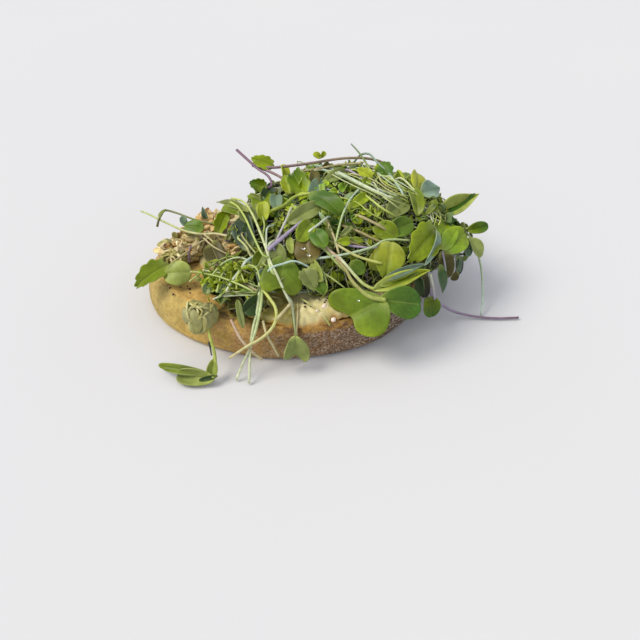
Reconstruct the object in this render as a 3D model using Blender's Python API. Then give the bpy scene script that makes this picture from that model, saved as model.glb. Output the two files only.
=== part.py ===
"""Open sandwich: a toasted slice of rustic bread with soft cheese, grilled artichoke and microgreens.

Metres, +Z up. The origin is the middle of the slice's flat underside, +X runs along its long
axis and -Y is its front, where the greens leave the edge and some of the cheese bare.
"""
import math

import bmesh
import bpy
from mathutils import Matrix, Vector, noise

MM = 0.001
GAP = 0.3 * MM                      # air between neighbouring pieces

# Bread slice
SLICE_HALF_LENGTH = 73.8 * MM
SLICE_HALF_WIDTH = 57.9 * MM
SLICE_SEGMENTS = 60
CRUMB_LEVEL = 20.5                  # mm, the toasted cut face, a little below its crust rim
# The slice's outline strays from an ellipse in waves: how many round it, degrees, share of its size
SLICE_WAVES = ((2, 40.0, 0.006), (3, 200.0, 0.006), (7, 90.0, 0.003))
# The crust from the underside up, in mm: height, pull-in all round, more pull-in at the left end
CRUST_PROFILE = (
    (0.0, 2.2, 0.3),
    (2.2, 0.4, 0.0),
    (7.0, 0.0, 0.0),
    (13.0, 0.1, 0.8),
    (17.5, 0.5, 2.6),
    (20.0, 1.4, 4.4),
    (21.0, 2.6, 5.6),
    (CRUMB_LEVEL, 3.8, 6.4),
)

# Soft cheese
CHEESE_BARE_LEFT = 21.0             # mm, it stops this much further in at the slice's left end
CHEESE_WAVE = 1.1                   # mm
# Waves of its edge: how many round it, radians, share of the wave's size
CHEESE_RIPPLES = ((9.0, 1.0, 0.60), (14.0, 0.0, 0.36))
CHEESE_SWELL = 0.35                 # mm, its top rises and falls by this in 5 waves
CHEESE_SWELLS = 5.0
CHEESE_SEGMENTS = 44
# The edge of the cheese from below, in mm: height over the crumb, distance inside the slice
CHEESE_PROFILE = (
    (0.3, 5.2),
    (1.2, 4.6),
    (2.5, 5.2),
    (3.3, 7.6),
    (3.3, 20.0),
)

# Heap of microgreens
HEAP_MIDDLE = (22.0 * MM, 1.0 * MM)
HEAP_REACH_LEFT = 58.0 * MM
HEAP_REACH_RIGHT = 72.0 * MM
HEAP_REACH_FRONT = 46.0 * MM
HEAP_REACH_BACK = 45.0 * MM
HEAP_SQUARENESS = 2.2               # exponent of the plan outline, where 2 is an ellipse
HEAP_FOOT = 27.0 * MM               # height of its widest ring
HEAP_CREST = 54.0 * MM
HEAP_CREST_SHIFT = (4.0 * MM, 12.0 * MM)
HEAP_LOW = 16.0 * MM                # its underside where it hangs past the slice
HEAP_DROOP = 6.0 * MM               # it hangs this much lower at the front right
HEAP_DROOP_ANGLE = math.radians(-32.0)
HEAP_LUMP = 6.0 * MM
HEAP_LUMP_SCALE = 3.4
HEAP_LUMP_PLACE = (3.0, 7.0, 1.0)   # which stretch of the noise the lumps are taken from
HEAP_FINE_LUMP = 0.5                # the finer lumps are this share as high
HEAP_FINE_SCALE = 2.2               # and this many times closer
HEAP_SHOULDER = 0.8                 # under 1 widens the mound at mid height
HEAP_DOME = 0.9                     # under 1 fills its top out
HEAP_SEGMENTS = 46
HEAP_RINGS = 18

# Blades: the leaves, and the petals of an artichoke
LEAF_THICKNESS = 0.5 * MM
PETAL_THICKNESS = 1.3 * MM
LEAF_GRID = (4, 4)                  # faces along and across
HEART_GRID = (4, 6)
PETAL_GRID = (3, 3)
STEM_SAMPLES = 2                    # straight pieces between two points of a stem's route
# Outline of a blade: half width of its foot as a share of the full width, skew to the tip, fullness
BLADE_OUTLINES = {
    "oval": (0.06, 1.0, 0.55),
    "lance": (0.04, 0.75, 0.9),
    "folded": (0.05, 0.9, 0.7),
    "heart": (0.06, 0.6, 1.2),      # opens until this share of its length, then stays wide
}
FLAT_CUP = 0.10                     # rise of the edges as a share of half the width
PETAL_CUP = 0.35
FOLD_CUP = 0.9
BLADE_DROOP = 0.12                  # fall of the tip as a share of the length
HEART_NOTCH = 0.34                  # depth of the notch between the lobes, as a share of the length
HEART_NOTCH_SLOPE = 1.6             # the notch closes at 1 / this of half the width
HEART_ROUNDING = 0.26               # how much shorter the lobes are at their outer edges

# Artichoke pieces, in mm and degrees: middle, heading, tilt, length, width, petals
ARTICHOKES = {
    "artichoke_left": ((-55.0, 7.0, 24.0), 112.0, 2.0, 25.0, 19.0, 5),
    "artichoke_golden": ((-37.0, 25.5, 27.6), 60.0, 10.0, 21.0, 15.0, 4),
    "artichoke_middle": ((-31.0, -9.0, 27.6), 215.0, 4.0, 20.0, 16.0, 4),
    "artichoke_front": ((-46.5, -41.0, 25.2), 262.0, -16.0, 18.0, 15.0, 4),
}
BASE_SHARES = (0.42, 0.40, 0.13)    # half sizes of the fleshy base: of the length, width and length
BASE_SEGMENTS = 10
BASE_RINGS = 6
# Petals from the outermost one to the innermost, in degrees, mm or shares of the piece
PETAL_OPENING = (34.0, 14.0)
PETAL_LIFT = (4.0, 30.0)
PETAL_ROLL = 16.0
PETAL_FOOT = (-0.40, 0.10)          # how far back and aside a petal starts
PETAL_FOOT_HEIGHT = (-0.4, 2.0)
PETAL_LENGTH = (0.86, 0.64)
PETAL_WIDTH = (0.62, 0.48)

# Sprigs that stand clear of the heap. Lengths in mm, angles in degrees.
# stems: radius and the points of the route; leaves: shape, base, heading, lift, roll, length, width
SPRIGS = {
    "sprig_draped_front_left": {
        "finish": "leaf",
        "stems": [(0.8, [(-47, -51.5, 18), (-47, -55, 12), (-46, -60, 6.5), (-45, -67, 4.4)])],
        "leaves": [
            ("folded", (-43.5, -67, 3.4), 152, 4, -34, 31, 14),
            ("oval", (-46, -66, 4.8), 310, -10, 8, 7, 7),
        ],
    },
    "sprig_left_leaf": {
        "finish": "leaf",
        "stems": [
            (0.6, [(-66, -12, 27), (-54, -17.5, 27.5), (-44, -26, 29), (-34, -34, 31), (-22, -38, 33)]),
        ],
        "leaves": [
            ("lance", (-65, -12, 27), 203, -12, 30, 16, 11),
            ("oval", (-51, -19.5, 27.8), 155, -4, 20, 15, 13),
        ],
    },
    "sprig_left_pale": {
        "finish": "pale_stem",
        "stems": [(0.6, [(-76, 33, 34), (-66, 25, 33.6), (-55, 16.5, 34), (-45, 9, 36), (-26, 6, 38)])],
        "leaves": [],
    },
    "sprig_left_hooked": {
        "finish": "purple_stem",
        "stems": [
            (0.55, [(-67, 20, 33), (-66, 23, 36), (-62, 25, 37.4), (-52, 22, 36.4), (-44, 20, 37.4),
                    (-24, 17, 38)]),
        ],
        "leaves": [("oval", (-53, 22, 36.2), 300, 20, 20, 10, 9)],
    },
    "sprig_top_purple": {
        "finish": "purple_stem",
        "stems": [
            (0.9, [(-22, 48, 58), (-16, 36, 56), (-11, 24, 54.5), (-8, 20, 52), (-8, 19, 49), (-12, 19, 46)]),
            (0.8, [(-15, 34, 55.7), (-6, 24, 55), (2, 16, 53), (8, 12, 48)]),
            (0.85, [(-14, 32, 55.4), (0, 26, 58.5), (14, 23, 61), (30, 24, 62), (48, 26, 60), (60, 30, 55),
                    (65, 33, 46)]),
        ],
        "leaves": [
            ("lance", (-9, 20, 48.6), 170, 10, -50, 11, 9),
            ("lance", (-4, 22, 54.6), 120, 40, -20, 14, 8),
            ("oval", (18, 23, 61.4), 60, 60, 10, 6, 6),
        ],
    },
    "sprig_right_folded": {
        "finish": "leaf",
        "stems": [(0.8, [(77, -3.4, 39), (80, -2.7, 39.8), (83, -2, 40.4)])],
        "leaves": [("folded", (79, -2.5, 39.8), 8, 14, 20, 22, 11)],
    },
    "sprig_right_small": {
        "finish": "leaf",
        "stems": [(0.5, [(70, -9, 34), (84, -13, 36), (94, -14, 36.6)])],
        "leaves": [("oval", (91, -14, 36.4), -3, 4, 30, 11, 8)],
    },
    "sprig_right_hanging": {
        "finish": "leaf",
        "stems": [
            (0.7, [(78, -13, 33), (90, -18, 33), (94, -22, 27), (94.5, -27, 21), (94, -34, 11),
                   (92, -41, 1.2)]),
        ],
        "leaves": [("oval", (91, -19, 33), -95, -40, 20, 14, 10)],
    },
    "sprig_right_purple": {
        "finish": "purple_stem",
        "stems": [
            (0.9, [(58, -36, 25), (62, -38, 18), (68, -40, 9), (78, -42, 3.4), (94, -45, 1.6),
                   (111, -47.5, 1.4)]),
        ],
        "leaves": [("oval", (61, -38.5, 20), 255, -60, 10, 9, 8)],
    },
    "stem_front_long": {
        "finish": "pale_stem",
        "stems": [(0.7, [(-22, -36, 36), (-24, -46, 29), (-26, -55, 20.5), (-28, -62, 11), (-30, -70, 1.2)])],
        "leaves": [],
    },
    "stem_front_short": {
        "finish": "pale_stem",
        "stems": [(0.7, [(-26, -34, 35), (-28, -46, 29), (-31, -54, 20), (-34, -61, 9), (-36, -67, 1.2)])],
        "leaves": [],
    },
    "stem_front_crossing": {
        "finish": "pale_stem",
        "stems": [
            (0.7, [(-1, -41, 31.5), (-5, -49, 29.5), (-18, -59, 23.8), (-27.5, -62, 18.5),
                   (-34, -62.5, 13.5), (-40, -61.5, 9.5)]),
        ],
        "leaves": [],
    },
    "stem_front_right": {
        "finish": "pale_stem",
        "stems": [
            (0.55, [(-15, -40, 33), (-16, -49, 26), (-15.8, -57, 21.6), (-15, -60, 14), (-14, -61.5, 7)]),
        ],
        "leaves": [],
    },
    "leaf_front_pair": {
        "finish": "leaf",
        "stems": [(0.9, [(19, -40, 38), (23, -46, 34.5), (28, -51, 31.8), (34, -54, 30)])],
        "leaves": [
            ("heart", (34, -55, 31), 189, -28, -36, 24, 30),
            ("folded", (33, -54, 30.6), 10, 12, 30, 25, 13),
            ("heart", (33, -54, 29.4), -20, -22, 26, 19, 18),
        ],
    },
    "leaf_small_front": {
        "finish": "leaf",
        "stems": [(0.5, [(-4, -40, 33), (-6, -50, 26.5), (-6.5, -59, 22), (-7, -60.8, 17)])],
        "leaves": [("heart", (-7, -60.4, 18.5), 262, -68, 0, 14, 15)],
    },
}

# Room left round a finished piece when its neighbours are trimmed
SPREAD_ROOM = 1.2 * GAP             # round the bread and the cheese
HEAP_ROOM = 1.6 * GAP
ARTICHOKE_ROOM = 2.0 * GAP


def clear_scene():
    """Remove whatever the file held."""
    for old in list(bpy.data.objects):
        bpy.data.objects.remove(old, do_unlink=True)


# ---------------------------------------------------------------- materials and objects

COLOURS = {
    "crust": (0.43, 0.25, 0.10),
    "cheese": (0.80, 0.71, 0.44),
    "artichoke": (0.45, 0.40, 0.17),
    "greens": (0.17, 0.30, 0.04),
    "leaf": (0.20, 0.36, 0.05),
    "pale_stem": (0.60, 0.66, 0.34),
    "purple_stem": (0.38, 0.24, 0.32),
}
ROUGHNESS = {
    "crust": 0.8,
    "cheese": 0.45,
    "artichoke": 0.5,
    "greens": 0.5,
    "leaf": 0.45,
    "pale_stem": 0.4,
    "purple_stem": 0.4,
}


def finish_material(finish, node_name):
    """A Principled material of its own for one piece."""
    material = bpy.data.materials.new(node_name)
    material.use_nodes = True
    shader = material.node_tree.nodes["Principled BSDF"]
    shader.inputs["Base Color"].default_value = (*COLOURS[finish], 1.0)
    shader.inputs["Roughness"].default_value = ROUGHNESS[finish]
    shader.inputs["Metallic"].default_value = 0.0
    return material


def add_piece(name, bm, finish):
    """Turn a bmesh into one of the sandwich's pieces."""
    piece = add_cutter(name, bm)
    piece.hide_render = False
    piece.display_type = "TEXTURED"
    piece.data.materials.append(finish_material(finish, name))
    piece.data.shade_smooth()
    return piece


def add_cutter(name, bm):
    """Turn a bmesh into a helper object for a Boolean."""
    bmesh.ops.recalc_face_normals(bm, faces=bm.faces)
    mesh = bpy.data.meshes.new(name)
    bm.to_mesh(mesh)
    bm.free()
    cutter = bpy.data.objects.new(name, mesh)
    cutter.hide_render = True
    cutter.display_type = "WIRE"
    bpy.context.scene.collection.objects.link(cutter)
    return cutter


def combine(piece, other, operation, join_overlaps=False):
    """Add a live exact Boolean to a piece."""
    modifier = piece.modifiers.new(operation.lower(), "BOOLEAN")
    modifier.operation = operation
    modifier.solver = "EXACT"
    modifier.object = other
    modifier.use_self = join_overlaps


def drum(segments, levels, place):
    """Closed drum of level rings whose points go where place(angle, level number) says."""
    bm = bmesh.new()
    bmesh.ops.create_cone(bm, cap_ends=True, cap_tris=False, segments=segments,
                          radius1=1.0, radius2=1.0, depth=1.0)
    upright = [edge for edge in bm.edges if abs(edge.verts[0].co.z - edge.verts[1].co.z) > 0.5]
    bmesh.ops.subdivide_edges(bm, edges=upright, cuts=levels - 2)
    for vertex in bm.verts:
        angle = math.atan2(vertex.co.y, vertex.co.x)
        level = round((vertex.co.z + 0.5) * (levels - 1))
        vertex.co = place(angle, level)
    return bm


# ---------------------------------------------------------------- bread and cheese

def left_end(angle):
    """1 at the slice's left end, 0 from its middle on."""
    return max(0.0, -math.cos(angle)) ** 2


def slice_edge(angle, inset):
    """Plan position in metres on the slice's slightly lopsided outline, pulled in by inset mm."""
    uneven = 1.0
    for turns, phase, depth in SLICE_WAVES:
        uneven += depth * math.cos(turns * angle + math.radians(phase))
    along = (SLICE_HALF_LENGTH * uneven - inset * MM) * math.cos(angle)
    across = (SLICE_HALF_WIDTH * uneven - inset * MM) * math.sin(angle)
    return along, across


def bread(extra=0.0):
    """The slice with its rounded crust and a raised rim round the crumb, grown by extra metres."""
    top = len(CRUST_PROFILE) - 1

    def place(angle, level):
        height, inset, left_inset = CRUST_PROFILE[level]
        grow = -extra if level == 0 else extra
        inset_here = inset + left_inset * left_end(angle) - extra / MM
        return Vector((*slice_edge(angle, inset_here), height * MM + grow))

    return drum(SLICE_SEGMENTS, top + 1, place)


def cheese(extra=0.0):
    """Soft cheese spread over the crumb, wavy at its edge, grown by extra metres."""
    top = len(CHEESE_PROFILE) - 1

    def place(angle, level):
        height, inset = CHEESE_PROFILE[level]
        ripple = sum(share * math.cos(turns * angle + phase) for turns, phase, share in CHEESE_RIPPLES)
        inset_here = inset + CHEESE_BARE_LEFT * left_end(angle)
        inset_here += CHEESE_WAVE * (1.0 + ripple) - extra / MM
        swell = CHEESE_SWELL * math.sin(CHEESE_SWELLS * angle) if 2 <= level < top else 0.0
        grow = -extra if level == 0 else extra
        return Vector((*slice_edge(angle, inset_here), (CRUMB_LEVEL + height + swell) * MM + grow))

    return drum(CHEESE_SEGMENTS, top + 1, place)


# ---------------------------------------------------------------- heap

def heap(extra=0.0):
    """Lumpy mound of greens, its crest behind and right of the middle, grown by extra metres."""
    bm = bmesh.new()
    bmesh.ops.create_uvsphere(bm, u_segments=HEAP_SEGMENTS, v_segments=HEAP_RINGS, radius=1.0)
    for vertex in bm.verts:
        vertex.co = heap_skin(vertex.co.copy(), extra)
    return bm


def heap_skin(direction, extra):
    """Where a point of the unit sphere goes on the mound."""
    angle = math.atan2(direction.y, direction.x)
    spread = math.hypot(direction.x, direction.y)
    reach_x = HEAP_REACH_RIGHT if direction.x > 0.0 else HEAP_REACH_LEFT
    reach_y = HEAP_REACH_BACK if direction.y > 0.0 else HEAP_REACH_FRONT
    power = HEAP_SQUARENESS
    square = (abs(math.cos(angle)) ** power + abs(math.sin(angle)) ** power) ** (-1.0 / power)
    lump = HEAP_LUMP * noise.noise(direction * HEAP_LUMP_SCALE + Vector(HEAP_LUMP_PLACE))
    lump += HEAP_FINE_LUMP * HEAP_LUMP * noise.noise(direction * HEAP_LUMP_SCALE * HEAP_FINE_SCALE)
    lump += extra
    up = max(0.0, direction.z)
    down = max(0.0, -direction.z)
    wide = spread ** HEAP_SHOULDER
    x = HEAP_MIDDLE[0] + (reach_x * square + lump) * wide * math.cos(angle) + HEAP_CREST_SHIFT[0] * up
    y = HEAP_MIDDLE[1] + (reach_y * square + lump) * wide * math.sin(angle) + HEAP_CREST_SHIFT[1] * up
    droop = HEAP_DROOP * max(0.0, math.cos(angle - HEAP_DROOP_ANGLE)) ** 3 * spread
    z = HEAP_FOOT + (HEAP_CREST - HEAP_FOOT + lump) * up ** HEAP_DOME
    z -= (HEAP_FOOT - HEAP_LOW + extra) * down + droop * (1.0 - up)
    return Vector((x, y, z))


# ---------------------------------------------------------------- blades and stems

def half_width(shape, along):
    """Half the width of a blade, as a share of its full width, at a share of its length."""
    foot, skew, fullness = BLADE_OUTLINES[shape]
    if shape == "heart":
        opened = math.sin(0.5 * math.pi * min(1.0, along / skew))
    else:
        opened = math.sin(math.pi * along ** skew)
    return foot + (0.5 - foot) * max(0.0, opened) ** fullness


def blade(bm, shape, grid, base, turns, length, width, thickness, cup=FLAT_CUP):
    """Add one closed blade with its base at a point.

    Lengths are in metres. The turns are its heading, lift and roll in degrees.
    """
    before = set(bm.verts)
    bmesh.ops.create_grid(bm, x_segments=grid[0], y_segments=grid[1], size=0.5)
    fresh = [vertex for vertex in bm.verts if vertex not in before]
    heading, lift, roll = turns
    fold = FOLD_CUP if shape == "folded" else cup
    notch = HEART_NOTCH if shape == "heart" else 0.0
    rounding = HEART_ROUNDING if shape == "heart" else 0.0
    for vertex in fresh:
        along = vertex.co.x + 0.5
        side = 2.0 * vertex.co.y
        half = width * half_width(shape, along)
        cut = notch * max(0.0, 1.0 - HEART_NOTCH_SLOPE * abs(side)) + rounding * abs(side) ** 3
        reach = along * (1.0 - cut * along ** 2)
        rise = fold * half * abs(side) - BLADE_DROOP * length * along ** 2
        vertex.co = Vector((length * reach, half * side, rise))
    turn = Matrix.Rotation(math.radians(heading), 4, "Z")
    turn @= Matrix.Rotation(math.radians(-lift), 4, "Y")
    turn @= Matrix.Rotation(math.radians(roll), 4, "X")
    bmesh.ops.transform(bm, matrix=Matrix.Translation(base) @ turn, verts=fresh)
    faces = list({face for vertex in fresh for face in vertex.link_faces})
    bmesh.ops.solidify(bm, geom=faces, thickness=thickness)


def smooth_route(points):
    """Points on a smooth curve through a route's own points."""
    ends = [2.0 * points[0] - points[1], *points, 2.0 * points[-1] - points[-2]]
    route = []
    for before, start, end, after in zip(ends, ends[1:], ends[2:], ends[3:]):
        for step in range(STEM_SAMPLES):
            t = step / STEM_SAMPLES
            bend = 2.0 * before - 5.0 * start + 4.0 * end - after
            twist = 3.0 * (start - end) + after - before
            route.append(start + 0.5 * t * (end - before + t * (bend + t * twist)))
    return route + [points[-1]]


def stem(name, radius, points):
    """Round stem as the mesh of a bevelled curve."""
    curve = bpy.data.curves.new(name, "CURVE")
    curve.dimensions = "3D"
    curve.bevel_depth = radius
    curve.bevel_resolution = 1
    curve.use_fill_caps = True
    route = smooth_route(points)
    spline = curve.splines.new("POLY")
    spline.points.add(len(route) - 1)
    for knot, place in zip(spline.points, route):
        knot.co = (*place, 1.0)
    guide = bpy.data.objects.new(name, curve)
    mesh = bpy.data.meshes.new_from_object(guide)
    bpy.data.objects.remove(guide, do_unlink=True)
    bm = bmesh.new()
    bm.from_mesh(mesh)
    bmesh.ops.remove_doubles(bm, verts=bm.verts, dist=0.01 * MM)
    bpy.data.meshes.remove(mesh)
    return bm


def in_metres(point):
    """A point given in mm."""
    return Vector(point) * MM


def sprig(name, parts, rooms):
    """One sprig: its stems and leaves joined, and trimmed clear of what it lies on."""
    first_radius, first_route = parts["stems"][0]
    body = stem(name, first_radius * MM, [in_metres(point) for point in first_route])
    piece = add_piece(name, body, parts["finish"])
    for number, (radius, route) in enumerate(parts["stems"][1:]):
        branch = stem(name, radius * MM, [in_metres(point) for point in route])
        combine(piece, add_cutter(f"{name}_branch_{number}", branch), "UNION")
    for number, (shape, base, *turns, length, width) in enumerate(parts["leaves"]):
        bm = bmesh.new()
        grid = HEART_GRID if shape == "heart" else LEAF_GRID
        blade(bm, shape, grid, in_metres(base), turns, length * MM, width * MM, LEAF_THICKNESS)
        combine(piece, add_cutter(f"{name}_leaf_{number}", bm), "UNION")
    for room in rooms:
        combine(piece, room, "DIFFERENCE")


# ---------------------------------------------------------------- artichoke

def between(pair, share):
    """The value a share of the way from a pair's first to its second."""
    first, last = pair
    return first + (last - first) * share


def artichoke(name, middle, heading, tilt, length, width, petals):
    """A wedge of grilled heart: a fleshy base under petals that open upwards like a fan."""
    base = bmesh.new()
    bmesh.ops.create_uvsphere(base, u_segments=BASE_SEGMENTS, v_segments=BASE_RINGS, radius=1.0)
    half_sizes = [share * full * MM for share, full in zip(BASE_SHARES, (length, width, length))]
    size = Matrix.Diagonal((*half_sizes, 1.0))
    turn = Matrix.Rotation(math.radians(heading), 4, "Z") @ Matrix.Rotation(math.radians(-tilt), 4, "Y")
    place = Matrix.Translation(in_metres(middle)) @ turn
    bmesh.ops.transform(base, matrix=place @ size, verts=base.verts)
    piece = add_piece(name, base, "artichoke")
    layers = bmesh.new()
    for number in range(petals):
        share = number / (petals - 1)
        side = 1.0 if number % 2 else -1.0
        back, aside = PETAL_FOOT
        start = in_metres((back * length, aside * side * width, between(PETAL_FOOT_HEIGHT, share)))
        open_angle = side * between(PETAL_OPENING, share)
        turns = (heading + open_angle, tilt + between(PETAL_LIFT, share), side * PETAL_ROLL)
        petal_length = length * between(PETAL_LENGTH, share) * MM
        petal_width = width * between(PETAL_WIDTH, share) * MM
        blade(layers, "oval", PETAL_GRID, place @ start, turns, petal_length, petal_width,
              PETAL_THICKNESS, PETAL_CUP)
    combine(piece, add_cutter(f"{name}_petals", layers), "UNION", join_overlaps=True)
    return piece


def hull_room(piece, name):
    """Hull round a finished piece, a gap larger, for trimming its neighbours."""
    evaluated = piece.evaluated_get(bpy.context.evaluated_depsgraph_get())
    bm = bmesh.new()
    bm.from_mesh(evaluated.to_mesh())
    evaluated.to_mesh_clear()
    hull = bmesh.ops.convex_hull(bm, input=bm.verts)
    spare = [item for item in hull["geom_interior"] if isinstance(item, bmesh.types.BMVert)]
    bmesh.ops.delete(bm, geom=spare, context="VERTS")
    skin = {face for face in hull["geom"] if isinstance(face, bmesh.types.BMFace)}
    loose = [face for face in bm.faces if face.is_valid and face not in skin]
    bmesh.ops.delete(bm, geom=loose, context="FACES")
    bmesh.ops.recalc_face_normals(bm, faces=bm.faces)
    bm.normal_update()
    for vertex in bm.verts:
        vertex.co += vertex.normal * ARTICHOKE_ROOM
    return add_cutter(name, bm)


# ---------------------------------------------------------------- the sandwich

def build():
    """Make every piece and trim the neighbours clear of each other."""
    clear_scene()
    add_piece("bread_slice", bread(), "crust")
    add_piece("soft_cheese", cheese(), "cheese")
    bread_room = add_cutter("bread_room", bread(SPREAD_ROOM))
    cheese_room = add_cutter("cheese_room", cheese(SPREAD_ROOM))
    heap_room = add_cutter("heap_room", heap(HEAP_ROOM))
    mound = add_piece("microgreens_heap", heap(), "greens")
    combine(mound, bread_room, "DIFFERENCE")
    combine(mound, cheese_room, "DIFFERENCE")
    for name, shape in ARTICHOKES.items():
        piece = artichoke(name, *shape)
        combine(piece, bread_room, "DIFFERENCE")
        combine(piece, cheese_room, "DIFFERENCE")
        combine(mound, hull_room(piece, f"{name}_room"), "DIFFERENCE")
    for name, parts in SPRIGS.items():
        sprig(name, parts, (heap_room, bread_room, cheese_room))


build()
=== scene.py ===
"""Open sandwich, the looks: toasted rustic bread, soft cheese, grilled artichoke and a heap of microgreens.

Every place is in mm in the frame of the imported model: the origin is the middle of the slice's
underside, +X runs along the slice and -Y is its front.
"""
import math

import bmesh
import bpy
import numpy as np
from mathutils import Matrix, Vector, noise
from mathutils.bvhtree import BVHTree


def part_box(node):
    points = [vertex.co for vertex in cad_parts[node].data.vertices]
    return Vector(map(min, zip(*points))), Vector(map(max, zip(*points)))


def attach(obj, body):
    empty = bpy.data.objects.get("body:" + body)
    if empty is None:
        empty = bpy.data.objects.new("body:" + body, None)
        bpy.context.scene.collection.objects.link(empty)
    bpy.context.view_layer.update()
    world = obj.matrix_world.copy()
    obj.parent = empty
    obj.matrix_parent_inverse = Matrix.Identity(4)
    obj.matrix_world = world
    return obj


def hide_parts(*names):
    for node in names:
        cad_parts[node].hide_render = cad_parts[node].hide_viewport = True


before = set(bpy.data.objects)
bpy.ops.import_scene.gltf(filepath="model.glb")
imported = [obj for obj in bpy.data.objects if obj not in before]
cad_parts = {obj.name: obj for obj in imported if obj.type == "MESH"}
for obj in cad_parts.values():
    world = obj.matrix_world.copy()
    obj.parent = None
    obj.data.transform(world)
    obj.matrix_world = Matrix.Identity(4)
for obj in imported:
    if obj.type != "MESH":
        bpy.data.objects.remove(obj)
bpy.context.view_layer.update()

MM = 0.001


# ---------------------------------------------------------------- colours and nodes

WHITE, BLACK = "#FFFFFF", "#000000"
COLOURS = {"data_type": "RGBA"}     # settings of a Mix node that mixes colours
MULTIPLY = {"data_type": "RGBA", "blend_type": "MULTIPLY"}
FIRST, SECOND, MIXED = 6, 7, 2      # and its sockets: two colours in, one out


def linear(hex_colour):
    """An sRGB hex colour as linear RGBA."""
    channels = [int(hex_colour[start:start + 2], 16) / 255.0 for start in (1, 3, 5)]
    return (*[c / 12.92 if c <= 0.04045 else ((c + 0.055) / 1.055) ** 2.4 for c in channels], 1.0)


def rgb(hex_colour):
    """The same without its alpha, as an array."""
    return np.array(linear(hex_colour)[:3])


def add(tree, kind, feeds=None, stops=None, **settings):
    """Add a node with its settings. A feed is a node or a socket to link, or a value to set."""
    made = tree.nodes.new(kind)
    for name, value in settings.items():
        setattr(made, name, value)
    for socket, source in (feeds or {}).items():
        if isinstance(source, bpy.types.Node):
            source = source.outputs[0]
        if isinstance(source, bpy.types.NodeSocket):
            tree.links.new(source, made.inputs[socket])
        else:
            made.inputs[socket].default_value = source
    if stops:
        ramp = made.color_ramp
        while len(ramp.elements) < len(stops):
            ramp.elements.new(0.5)
        for element, (position, colour) in zip(ramp.elements, stops):
            element.position = position
            element.color = linear(colour)
    return made


def grain(tree, size, detail=3.0, roughness=0.6):
    """Noise with features of about a size in mm, in the piece's own space."""
    place = add(tree, "ShaderNodeTexCoord").outputs["Object"]
    made = add(tree, "ShaderNodeTexNoise",
               {"Vector": place, "Scale": 1.0 / (size * MM), "Detail": detail, "Roughness": roughness})
    return made.outputs["Fac"]


def spots(tree, size, low, high, inner=WHITE, outer=BLACK, detail=2.0, roughness=0.6):
    """Colour socket of noise cut into spots between two levels."""
    return add(tree, "ShaderNodeValToRGB", {"Fac": grain(tree, size, detail, roughness)},
               stops=((low, outer), (high, inner))).outputs["Color"]


def mottled(tree, name, share, shade, size, detail=3.0, roughness=0.6, low=0.3, high=0.7):
    """Colour socket of the piece's own painted colour with darker mottling in it."""
    painted = add(tree, "ShaderNodeAttribute", attribute_name=name).outputs["Color"]
    patches = spots(tree, size, low, high, WHITE, shade, detail, roughness)
    return add(tree, "ShaderNodeMix", {0: share, FIRST: painted, SECOND: patches}, **MULTIPLY).outputs[MIXED]


def new_material(name):
    """A material with its Principled shader, as (material, tree, shader)."""
    material = bpy.data.materials.new(name)
    material.use_nodes = True
    return material, material.node_tree, material.node_tree.nodes["Principled BSDF"]


def finish_skin(tree, shader, colour, roughness, height, strength, depth):
    """Give a skin its colour and gloss, and let a height socket roughen it by depth in mm."""
    tree.links.new(colour, shader.inputs["Base Color"])
    shader.inputs["Roughness"].default_value = roughness
    relief = add(tree, "ShaderNodeBump", {"Height": height, "Strength": strength, "Distance": depth * MM})
    tree.links.new(relief.outputs["Normal"], shader.inputs["Normal"])


def let_light_through(tree, shader, colour, share):
    """Mix in light that comes through from behind."""
    output = tree.nodes["Material Output"]
    glow = add(tree, "ShaderNodeBsdfTranslucent", {"Color": colour})
    both = add(tree, "ShaderNodeMixShader", {0: share, 1: shader.outputs["BSDF"], 2: glow.outputs["BSDF"]})
    tree.links.new(both.outputs["Shader"], output.inputs["Surface"])


# ---------------------------------------------------------------- finishes

VEIN_COLOUR = "#B9C46A"
SIDE_VEINS = 38.0                   # how closely they follow each other: radians over a blade's length


def blade_places(tree):
    """Sockets of how far along a blade and how far across it a point lies, each from 0 to 1."""
    own = add(tree, "ShaderNodeSeparateXYZ", {"Vector": add(tree, "ShaderNodeUVMap").outputs["UV"]})
    return own.outputs["X"], own.outputs["Y"]


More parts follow.
